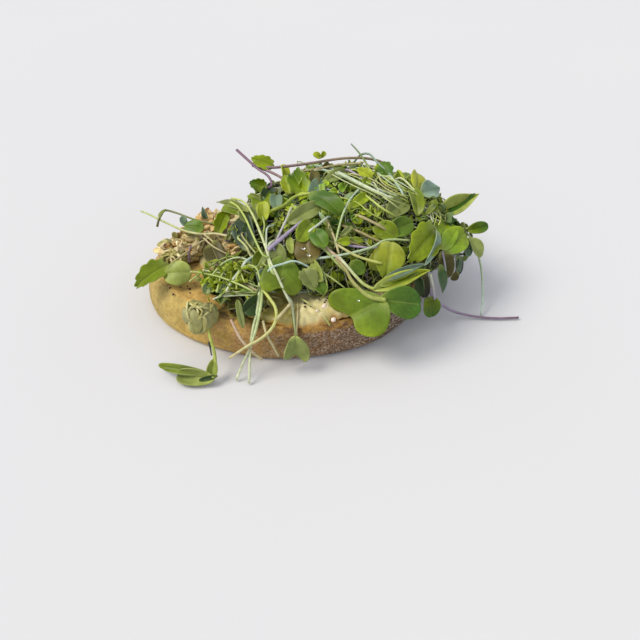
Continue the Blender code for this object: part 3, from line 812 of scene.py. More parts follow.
def cheese_colour(points):
    """Cream at the front, golden at the edge, a darker glaze at the left, partly where oil ran and partly
    painted shade under the greens, and painted light on the cream just in front of the heap, where its shadow
    falls.
    """
    x, y, height = points.T
    # partly oil, partly painted shade under the greens: the darker glaze at the left
    glaze = ease(-x + 4.0 * rough(points, 6.0, 7.0), 3.0, 9.0) * ease(-y, 0.0, 20.0)
    # painted light: the cream just in front of the heap is painted paler, against the heap's shadow
    behind = ease(y, -49.0, -43.0) * ease(-30.0 - y, 0.0, 6.0) * ease(x, -8.0, -2.0)
    return coated(np.tile(rgb("#C4BA86"), (len(points), 1)),
                  ("#BCAA5E", 0.8 * ease(rough(points, 7.0, 2.0) + 0.05 * (x - 8.0), -0.1, 0.5)),
                  ("#948C44", 0.92 * glaze),
                  ("#9A7428", 0.85 * glaze * ease(rough(points, 8.0, 9.0) - 0.03 * (x + 25.0), 0.0, 0.5)),
                  ("#C08A34", 0.85 * ease(23.2 - height + 1.5 * rough(points, 4.0, 4.0), 0.4, 1.8)),
                  ("#ECE2B0", 0.85 * behind))


def spread_cheese():
    """The cheese: knife ridges, and a thick dollop that spills over at the front."""
    mesh = fine_copy("soft_cheese", 0.7)
    points, normals = points_and_normals(mesh)
    x, y, _ = points.T
    top = ease(normals[:, 2], 0.2, 0.7)
    front = ease(-y, 30.0, 50.0) * ease(x, -52.0, -38.0) * ease(50.0 - x, 0.0, 22.0)
    push = 0.5 * rough(points, 4.5, 3.0, (0.35, 1.0, 1.0)) + 0.35 * rough(points, 2.0, 5.0) * top
    moved = points + normals * (push * ease(normals[:, 2], -0.6, 0.0))[:, None]
    reach_over = 4.2 + 3.0 * np.exp(-((x + 3.0) / 20.0) ** 2)
    spill = front * (reach_over + 1.6 * rough(points, 4.0, 6.0, (1.0, 0.0, 0.0)))
    moved[:, 1] -= spill
    moved[:, 0] -= 0.35 * spill * ease(-x, 0.0, 40.0)
    dollop = np.exp(-hump(moved, 6.0, -50.0, 17.0, 6.5) ** 2)
    second = np.exp(-hump(moved, 12.0, -48.0, 6.0, 5.0))
    lumps = np.abs(rough(points, 4.0, 11.0)) ** 0.7
    moved[:, 2] += (1.8 * dollop + 1.2 * second + 1.3 * lumps * front) * top
    moved[:, 2] -= 1.8 * ease(-moved[:, 1], 55.0, 59.5) * front
    set_points(mesh, moved)
    set_tone(mesh, np.clip(cheese_colour(points), 0.0, 1.0))
    mesh.materials.append(CHEESE)
    add_piece("spread_cheese", mesh, "cheese", "soft_cheese")


# ---------------------------------------------------------------- artichoke

# Fleshy body of each piece: its node, lightest, second and crease colour (painted shade in the creases),
# noise shift, size and move in mm
FLESH = (
    ("artichoke_left", ("#D2C494", "#B8A468", "#7C6848"), 1.0, 1.0, (0.0, 0.0, 0.0)),
    ("artichoke_golden", ("#E4C888", "#CCA662", "#8A6438"), 2.0, 1.0, (0.0, 0.0, 0.0)),
    ("artichoke_middle", ("#CDBC88", "#AC985C", "#644C3C"), 3.0, 1.0, (0.0, 0.0, 0.0)),
    ("artichoke_front", ("#9E9C5A", "#80824A", "#30341E"), 4.0, 0.72, (-1.0, -3.0, -3.0)),
)
# Petals lying on a piece: its node, how many, heading in degrees, shortest and longest in mm, tints, seed
LYING_PETALS = (
    ("artichoke_left", 60, 200.0, (3.0, 7.0),
     ("flesh", "cream_flesh", "brown_flesh", "sage_flesh", "cream_flesh"), 11),
    ("artichoke_golden", 26, 80.0, (3.0, 6.5), ("gold_flesh", "brown_flesh", "cream_flesh"), 5),
    ("artichoke_middle", 22, 10.0, (4.0, 10.0), ("flesh", "cream_flesh", "brown_flesh"), 8),
)
# Wide petals wrapped round the front piece: foot, tip, width, facing, cup and bend
FRONT_PETALS = (
    ((-51, -52.5, 18.5), (-55, -43.5, 27), 9.0, (-0.6, -0.75, 0.3), -0.5, 40.0),
    ((-49, -53.5, 19), (-52, -46.5, 25), 9.0, (-0.2, -0.9, 0.4), 0.6, -30.0),
    ((-46, -52.5, 20), (-46.5, -44, 28.5), 5.5, (0.3, -0.9, 0.2), -0.5, 30.0),
    ((-43.5, -50, 21), (-43.5, -43.5, 27), 5.0, (0.6, -0.8, 0.2), -0.4, 40.0),
    ((-52, -45, 23.5), (-49, -40.5, 27), 7.0, (-0.3, -0.5, 0.8), 0.5, 60.0),
    ((-55.5, -47, 20), (-56.5, -41, 25), 5.0, (-0.8, -0.5, 0.3), -0.4, 30.0),
)
# Petals packed round an axis: middle, axis, radius of each ring, tints, seed
PETAL_RINGS = (
    ((-51.0, -46.0, 25.5), (-0.3, -0.75, 0.5), (1.5, 3.3), ("sage_flesh", "pale_flesh"), 6),
    ((-61.0, -4.0, 25.5), (-0.45, -0.7, 0.55), (1.3, 3.0, 4.8, 6.0),
     ("sage_flesh", "cream_flesh", "sage_flesh"), 9),
)
RING_HEIGHT = 6.0                   # mm
# Rows of loose petals between the pieces: one end, the other end and how many
PETAL_LINES = (
    ((-64, 2, 20.5), (-47, 25, 20.5), 30),
    ((-56, 21, 21), (-41, 33, 22), 24),
    ((-45, 17, 21.5), (-30, 0, 24), 30),
)
LINE_TINTS = ("flesh", "cream_flesh", "brown_flesh", "sage_flesh")


def artichoke_flesh(node, tones, seed, size, shift):
    """The fleshy body of a piece: folded layers, with painted shade in the creases between them."""
    mesh = fine_copy(node, 0.45)
    points, normals = points_and_normals(mesh)
    layered = np.abs(rough(points, 3.6, seed, (1.0, 0.55, 1.2))) ** 0.7
    fine = rough(points, 1.3, seed + 3.0)
    points = points + normals * (1.4 * layered - 0.6 + 0.2 * fine)[:, None]
    middle = 0.5 * (points.min(axis=0) + points.max(axis=0))
    set_points(mesh, middle + (points - middle) * size + shift)
    light, second, dark = (rgb(tone) for tone in tones)
    tone = light + (second - light) * ease(rough(points, 5.0, seed + 6.0), -0.3, 0.3)[:, None]
    # painted shade: the creases between the layers are painted dark
    tone = tone + (dark - tone) * (1.0 - ease(layered, 0.05, 0.3))[:, None]
    set_tone(mesh, np.clip(tone * (1.0 + 0.25 * fine)[:, None], 0.0, 1.0), "tint")
    corners = np.empty(len(mesh.loops), np.int32)
    mesh.loops.foreach_get("vertex_index", corners)
    across = 0.12 * points[:, 0] + 0.07 * points[:, 2]
    set_own(mesh, np.stack([np.full(len(points), 0.3), across], 1), corners)
    mesh.materials.append(ARTICHOKE)
    add_piece(node + "_flesh", mesh, "artichoke", node)


def petals_over(bunch, node, count, heading, sizes, tints, seed):
    """Thin curled petals lying on a piece, their tips lifting off along a heading."""
    draw = np.random.RandomState(seed)
    skin = skin_of(node)
    low, high = box_of(node)
    middle = 0.5 * (low + high) - np.array((0.0, 0.0, 2.0))
    for number in range(count):
        turn = draw.uniform(0.0, math.tau)
        out = unit((math.cos(turn), math.sin(turn) - 0.3, draw.uniform(0.2, 1.6)))
        spot, normal, _, _ = skin.ray_cast(Vector(middle + 30.0 * out), Vector(-out))
        if spot is None:
            continue
        spot, normal = np.array(spot), np.array(normal)
        way = math.radians(heading) + math.radians(draw.uniform(-50.0, 50.0))
        forward = np.array((math.cos(way), math.sin(way), 0.0))
        forward = unit(forward - normal * float(forward @ normal))
        length = draw.uniform(*sizes)
        base = spot - normal * 0.8 - forward * 0.5 * length
        tip = spot + forward * 0.5 * length + normal * draw.uniform(0.4, 2.6)
        tint = tints[number % len(tints)]
        bunch.leaf("oval", base, tip, length * draw.uniform(0.45, 0.8), tint, facing=normal,
                   cup=draw.uniform(0.1, 0.7), bend=draw.uniform(-70.0, 30.0), phase=draw.uniform(0.0, 6.0),
                   fold=0.0, thickness=draw.uniform(0.6, 1.0), blade=PETAL_BLADE,
                   twist=draw.uniform(-30.0, 30.0), shade=draw.uniform(0.75, 1.15))


def petal_rings(bunch, middle, axis, rings, tints, seed):
    """Petals packed round an axis in rings, as a cut heart shows them from its end."""
    draw = np.random.RandomState(seed)
    axis = unit(axis)
    side = unit(np.cross(axis, (0.2, 0.9, 0.3)))
    other = np.cross(axis, side)
    for ring, radius in enumerate(rings):
        count = 2 + ring
        width = math.tau * radius / count * 1.35 + 1.5
        for number in range(count):
            turn = math.tau * (number + 0.5 * (ring % 2) + draw.uniform(-0.12, 0.12)) / count
            out = side * math.cos(turn) + other * math.sin(turn)
            round_way = other * math.cos(turn) - side * math.sin(turn)
            spot = np.asarray(middle, float) + out * radius
            base = spot - axis * RING_HEIGHT * 0.6 - round_way * 0.3
            tip = spot + axis * RING_HEIGHT * draw.uniform(0.25, 0.5) + out * draw.uniform(-0.4, 1.0)
            bunch.leaf("round", base, tip, width, tints[(number + ring) % len(tints)], facing=-out, cup=1.1,
                       bend=draw.uniform(-35.0, 25.0), ruffle=0.10, phase=draw.uniform(0.0, 6.0), fold=0.0,
                       thickness=0.8, blade=PETAL_BLADE, shade=draw.uniform(0.8, 1.15))


def petal_lines(bunch):
    """Rows of loose upright petals between the pieces."""
    draw = np.random.RandomState(17)
    for start, end, count in PETAL_LINES:
        for number in range(count):
            share = draw.uniform(0.0, 1.0)
            foot = np.array(start) * (1.0 - share) + np.array(end) * share
            foot = foot + draw.uniform(-2.5, 2.5, 3) * (1.0, 1.0, 0.5)
            rise = np.array((draw.uniform(-3.0, 2.0), draw.uniform(-1.0, 3.5), draw.uniform(2.0, 6.0)))
            bunch.leaf("oval", foot, foot + rise, draw.uniform(2.5, 4.5), LINE_TINTS[number % 4],
                       facing=(-0.4 + draw.uniform(-0.5, 0.5), -0.7, 0.6), cup=draw.uniform(-0.4, 0.8),
                       ruffle=0.15, bend=draw.uniform(-60.0, 70.0), fold=0.0, thickness=0.8,
                       blade=PETAL_BLADE, shade=draw.uniform(0.6, 1.0))


def artichokes():
    """Four pieces at the slice's left end: fleshy bodies under thin curled petals."""
    for body in FLESH:
        artichoke_flesh(*body)
    petals = Bunch("artichoke_petals", (ARTICHOKE, ARTICHOKE))
    for lying in LYING_PETALS:
        petals_over(petals, *lying)
    for base, tip, width, facing, cup, bend in FRONT_PETALS:
        petals.leaf("round", base, tip, width, "sage_flesh", facing=facing, cup=cup, bend=bend, ruffle=0.14,
                    fold=0.0, thickness=0.9, blade=PETAL_BLADE, tip_tint="pale_flesh", shade=0.7)
    for packed in PETAL_RINGS:
        petal_rings(petals, *packed)
    petal_lines(petals)
    petals.finish("artichoke")


# ---------------------------------------------------------------- heap

HEAP_MIDDLE = np.array((24.0, 2.0, 27.0))       # mm, inside the heap, where its rays start
CORE_MIDDLE = np.array((24.0, 2.0, 22.0))       # mm, the spot the core shrinks towards
CORE_SIZE = np.array((0.87, 0.86, 0.82))
heap_skin = skin_of("microgreens_heap")


def on_heap(direction, depth=0.0):
    """Point of the heap's outline in a direction from its middle, some mm inside it."""
    hit = heap_skin.ray_cast(Vector(HEAP_MIDDLE), Vector(direction).normalized())[0]
    found = np.array(hit) if hit is not None else HEAP_MIDDLE + 30.0 * unit(direction)
    return found - unit(direction) * depth


def heap_core():
    """Uneven body under the loose greens, some mm inside the heap's outline, dark with painted shade."""
    mesh = fine_copy("microgreens_heap", 1.8)
    points, _ = points_and_normals(mesh)
    set_points(mesh, CORE_MIDDLE + (points - CORE_MIDDLE) * CORE_SIZE)
    points, normals = points_and_normals(mesh)
    push = 1.8 * rough(points, 6.0) + 1.0 * rough(points, 2.6, 4.0)
    set_points(mesh, points + normals * push[:, None])
    mesh.materials.append(INNER_SHADE)
    add_piece("greens_core", mesh, "greens", "microgreens_heap")


# ---------------------------------------------------------------- sprigs clear of the heap

# Each sprig that stands clear of the heap: its name, slot and the node it takes the place of; its
# stems, each with the radius and the tint at its two ends and its route; and its leaves, each with
# shape, foot, tip, width, tint, the way its face turns, and what else differs from a plain leaf
SPRIGS = (
    ("draped_sprig", "leaf", "sprig_draped_front_left", (
        (0.55, 0.9, "stem_lime", "pale", ((-47, -50, 21), (-46, -55, 17), (-45, -58, 12), (-45, -61, 8),
         (-46, -64, 4.4))),
        (0.45, 0.3, "night", "night", ((-46.9, -55.2, 15), (-46.5, -57, 12.2), (-46.3, -58.6, 9.6))),
    ), (
        ("fan", (-45.2, -60, 9), (-47.6, -66.5, 3.2), 6, "pale", (-0.1, -0.7, 0.7), {"bend": 24,
         "cup": 0.35, "tip_tint": "fresh", "shade": 0.95}),
        ("oval", (-49, -64.5, 4.4), (-70.5, -54.5, 3.4), 4.8, "sage", (0.05, -0.75, 0.66), {"bend": 34,
         "cup": 0.4, "ruffle": 0.3, "tip_tint": "fresh"}),
        ("oval", (-46, -67.5, 3.2), (-63, -60.5, 1.8), 8.5, "pale", (-0.15, -0.7, 0.7), {"bend": 26,
         "cup": 0.4, "ruffle": 0.2, "tip_tint": "sage", "shade": 0.97}),
        ("oval", (-44.5, -66.8, 4.4), (-53, -67, 3.2), 2.4, "dark", (0, -0.7, 0.7), {"bend": 10}),
    )),
    ("left_leaf_sprig", "leaf", "sprig_left_leaf", (
        (0.65, 0.65, "stem_beige", "stem_tan", ((-52, -19, 29), (-45, -23, 30), (-41, -27, 30.5),
         (-34, -32, 31.5), (-28, -38, 32.5), (-22, -44, 32))),
    ), (
        ("toothed", (-62, -10, 28), (-79, -19, 22.5), 13, "fresh", (-0.3, -0.5, 0.8), {"ruffle": 0.08}),
        ("round", (-51.5, -19.5, 29), (-64.5, -16.5, 27), 12.5, "pale", (-0.1, -0.7, 0.75), {"bend": 35,
         "cup": -0.35, "ruffle": 0.16, "waves": 2, "shade": 0.86}),
    )),
    ("left_pale_sprig", "pale_stem", "sprig_left_pale", (
        (0.5, 0.7, "stem_green", "stem_beige", ((-75, 33, 34), (-70, 28, 34), (-63, 20, 34), (-54, 9, 35),
         (-48, 3.5, 36), (-43, 2, 36), (-38, 0, 37), (-30, -6, 38))),
    ), ()),
    ("left_hooked_sprig", "purple_stem", "sprig_left_hooked", (
        (0.6, 0.45, "olive", "sage", ((-67, 20, 31.5), (-66, 22, 34), (-64, 24, 36.4), (-62, 26, 37.4),
         (-56, 21, 38), (-50, 15.5, 38), (-44, 11, 38), (-36, 7, 38))),
    ), (
        ("lance", (-65.4, 22.5, 35), (-61.5, 26, 38), 3.2, "fresh", (-0.7, -0.3, 0.5), {"fold": 20}),
        ("oval", (-52, 13, 35), (-53.5, 16, 39), 4.4, "grey", (-0.2, -1, 0.2), {"bend": 40}),
        ("round", (-43.5, 6, 36.5), (-52.5, 10.5, 36.2), 8.5, "mid", (-0.1, -0.6, 0.8), {"cup": -0.2}),
        ("lance", (-41.5, 17, 35.5), (-43, 19, 42), 3, "grey", (-0.3, -1, 0.2), {"fold": 25}),
    )),
    ("top_purple_sprig", "purple_stem", "sprig_top_purple", (
        (0.8, 0.6, "plum", "plum", ((-21.5, 48, 58), (-17, 38, 57), (-13, 29.5, 56), (-9, 24, 55),
         (-7.4, 21, 53.8), (-7, 18, 52.6), (-8.2, 16, 51.7), (-10.2, 16, 51.9))),
        (0.8, 0.6, "plum", "pink", ((-15, 33, 56), (-8, 27, 55.5), (-2, 22, 54), (3, 17, 52), (7, 12, 48))),
        (0.75, 0.7, "plum", "stem_tan", ((-15, 33, 56), (-6, 28, 56.6), (5, 25, 58.4), (16, 23.5, 60),
         (30, 24.5, 60.8), (42, 26, 59.6), (50, 28, 57), (57, 31, 53))),
        (0.6, 0.6, "stem_tan", "stem_beige", ((5, 20, 57), (16, 20, 58), (28, 22, 58.6), (42, 24, 57.6))),
    ), (
        ("toothed", (-9.8, 16, 52), (-18.5, 18, 54.5), 7.5, "bright", (-0.1, -0.9, 0.4), {"bend": 34,
         "ruffle": 0.22, "tip_tint": "deep"}),
        ("toothed", (-4, 29, 56.6), (-15.5, 35, 59), 8, "bright", (-0.2, -0.7, 0.6), {"cup": 0.2}),
        ("oval", (1, 21, 51), (0, 27, 58.5), 5.5, "lime", (0.4, -1, 0.2), {"cup": 0.3}),
        ("oval", (19.5, 23, 62.6), (15.8, 25, 64.6), 3.4, "lime", (0, -0.9, 0.5), {"bend": 40}),
        ("lobed", (19.5, 23, 62.6), (21.5, 24, 66), 3, "bright", (0, -0.9, 0.3), {"tip_tint": "lime"}),
        ("oval", (20, 21.5, 55), (23, 22.5, 60.5), 4.2, "olive", (0, -1, 0.3), {}),
    )),
    ("right_folded_sprig", "leaf", "sprig_right_folded", (
        (1.1, 0.9, "stem_green", "lime", ((70, -8, 38), (74, -6.5, 38.6), (78, -4.5, 39.5))),
    ), (
        ("lance", (75.5, -6, 39), (100, 1, 47.5), 16, "pale", (-0.1, -0.5, 0.8), {"fold": 52, "bend": -14,
         "cup": -0.15}),
        # painted shade: a narrow dark blade lying in the fold of the leaf above
        ("lance", (78, -5.4, 40.2), (97.5, 0.8, 48), 6.5, "deep", (-0.1, -0.5, 0.8), {"fold": 40,
         "bend": -14, "cup": -0.15, "shade": 0.8}),
    )),
    ("right_small_sprig", "leaf", "sprig_right_small", (
        (0.55, 0.55, "stem_green", "lime", ((72, -9, 34.5), (82, -12, 35.6), (92, -13, 35.8))),
    ), (
        ("oval", (90, -13.4, 34.8), (101, -13.4, 36.6), 7.5, "fresh", (0, -0.75, 0.65), {"fold": 30,
         "bend": 18, "tip_tint": "deep"}),
    )),
    ("right_hanging_sprig", "leaf", "sprig_right_hanging", (
        (0.6, 0.5, "stem_green", "stem_blue", ((84, -8, 33), (90, -12, 33), (93.6, -18, 28.5),
         (95.5, -23, 22), (96, -28, 16), (94.5, -37, 7), (92, -43, 1))),
    ), (
        ("oval", (89.5, -18, 33.5), (92.5, -27.5, 27), 9, "sage", (0.4, -0.7, 0.5), {"shade": 1.18}),
        ("oval", (88, -17, 33), (86, -27, 28), 6, "grey", (0.2, -0.8, 0.4), {}),
    )),
    ("right_purple_sprig", "purple_stem", "sprig_right_purple", (
        (0.85, 0.6, "lilac", "plum", ((60, -40, 25), (63, -44.5, 19), (68, -44, 13.5), (75, -42.4, 7),
         (82, -42, 3.2), (90, -44, 1.8), (100, -46.2, 1.3), (111, -47.6, 1.4))),
    ), (
        ("round", (60.5, -44.5, 19), (61.5, -49.5, 10.5), 9.5, "fresh", (0.1, -0.85, 0.45), {"bend": 40,
         "tip_tint": "deep"}),
    )),
    ("front_long_stem", "pale_stem", "stem_front_long", (
        (0.85, 0.6, "stem_green", "stem_white", ((-26, -23, 34), (-23, -31, 36), (-21, -37, 35),
         (-22, -44, 32), (-24, -52, 27.5), (-27, -57, 20), (-29, -62, 12), (-31, -70.5, 1))),
    ), ()),
    ("front_short_stem", "pale_stem", "stem_front_short", (
        (0.7, 0.55, "stem_green", "stem_white", ((-20, -40, 33), (-22, -50, 29.5), (-25, -57, 23),
         (-28.5, -61, 15), (-33, -64, 7), (-36.5, -67.5, 1))),
    ), ()),
    ("front_crossing_stem", "pale_stem", "stem_front_crossing", (
        (0.8, 0.65, "stem_lime", "stem_beige", ((-21, -41, 33), (-18.5, -47, 31.5), (-16, -53, 29.5),
         (-16.2, -57, 26), (-19, -59.5, 22), (-24, -61.5, 19), (-30, -62, 16), (-38.5, -62, 10))),
        (0.7, 0.7, "stem_beige", "stem_beige", ((-16, -57.5, 26), (-12.5, -55, 28), (-8.5, -51, 29))),
    ), ()),
    ("front_right_stem", "pale_stem", "stem_front_right", (
        (0.6, 0.65, "stem_beige", "stem_beige", ((-22, -55, 24), (-21, -59.5, 19.5), (-18.5, -61.5, 14),
         (-16, -62.5, 8))),
        (0.6, 0.8, "pink", "stem_beige", ((-36, -52, 24), (-33, -59, 19), (-30, -61.5, 15),
         (-27, -62.5, 11), (-24, -63, 8))),
        (0.5, 0.4, "pale", "stem_beige", ((-3.5, -46, 27.5), (-1, -49, 27.4), (1.5, -52, 26.6),
         (4, -54, 25.4))),
        (0.55, 0.4, "stem_beige", "pale", ((3.5, -54, 25.2), (6, -57, 23.6), (8, -60, 21.2))),
    ), ()),
    ("front_pair_sprig", "leaf", "leaf_front_pair", (
        (0.6, 1.2, "stem_tan", "pale", ((14, -39, 43), (18, -44, 40), (20, -48, 36.5), (24, -52.5, 33),
         (28, -56, 31.5), (34, -58, 31))),
        (0.65, 0.8, "stem_white", "stem_lime", ((16, -39, 43.5), (19, -43.5, 41), (22, -47, 38),
         (25.5, -50, 35), (30, -52, 33))),
    ), (
        ("heart", (33.5, -57, 31), (13.5, -59, 21.6), 30, "mid", (-0.37, -0.66, 0.66), {"bend": 18,
         "cup": -0.05, "shear": -0.33, "ruffle": 0.05, "fold": 8, "tip_tint": "fresh"}),
        ("fan", (31, -57, 30.5), (50.5, -58.5, 26.5), 18.5, "mid", (0.08, -0.69, 0.71), {"bend": 28,
         "cup": -0.12, "tip_tint": "deep", "shade": 1.05}),
        ("lance", (29.5, -52, 32), (58, -47.5, 37.8), 12, "pale", (0, -0.42, 0.9), {"fold": 50, "bend": -18,
         "cup": -0.2, "tip_tint": "lime"}),
        ("lance", (33, -51, 33.6), (55, -47.2, 38), 4.6, "fresh", (0, -0.42, 0.9), {"fold": 30, "bend": -18,
         "cup": -0.2, "shade": 0.85}),
    )),
    ("small_front_sprig", "leaf", "leaf_small_front", (
        (0.75, 0.55, "stem_white", "sage", ((-10, -44, 30), (-8, -48.5, 28), (-8, -53, 26), (-8, -58, 22),
         (-8, -62, 18.5))),
        (0.45, 0.45, "stem_tan", "stem_tan", ((-5, -49, 27), (-6, -55, 25), (-7.4, -60, 20.5),
         (-7.6, -62, 18))),
    ), (
        ("heart", (-8, -62, 19), (-8.3, -64, 5.4), 13.5, "sage", (-0.05, -0.95, 0.2), {"bend": 12,
         "cup": 0.15, "ruffle": 0.2, "shade": 1.15}),
    )),
)


def stem_finish(tint):
    return PURPLE if tint in ("lilac", "plum") else PALE


def loose_sprigs():
    """The sprigs that stand clear of the heap, each its own piece."""
    for name, slot, node, stems, leaves in SPRIGS:
        sprig = Bunch(name)
        for thick, thin, tint, end_tint, route in stems:
            sprig.stem(route, thick, tint, end_tint, thin, finish=stem_finish(tint))
        for shape, foot, tip, width, tint, facing, form in leaves:
            sprig.leaf(shape, foot, tip, width, tint, facing=facing, **form)
        sprig.finish(slot, node)


# ---------------------------------------------------------------- greens of the heap

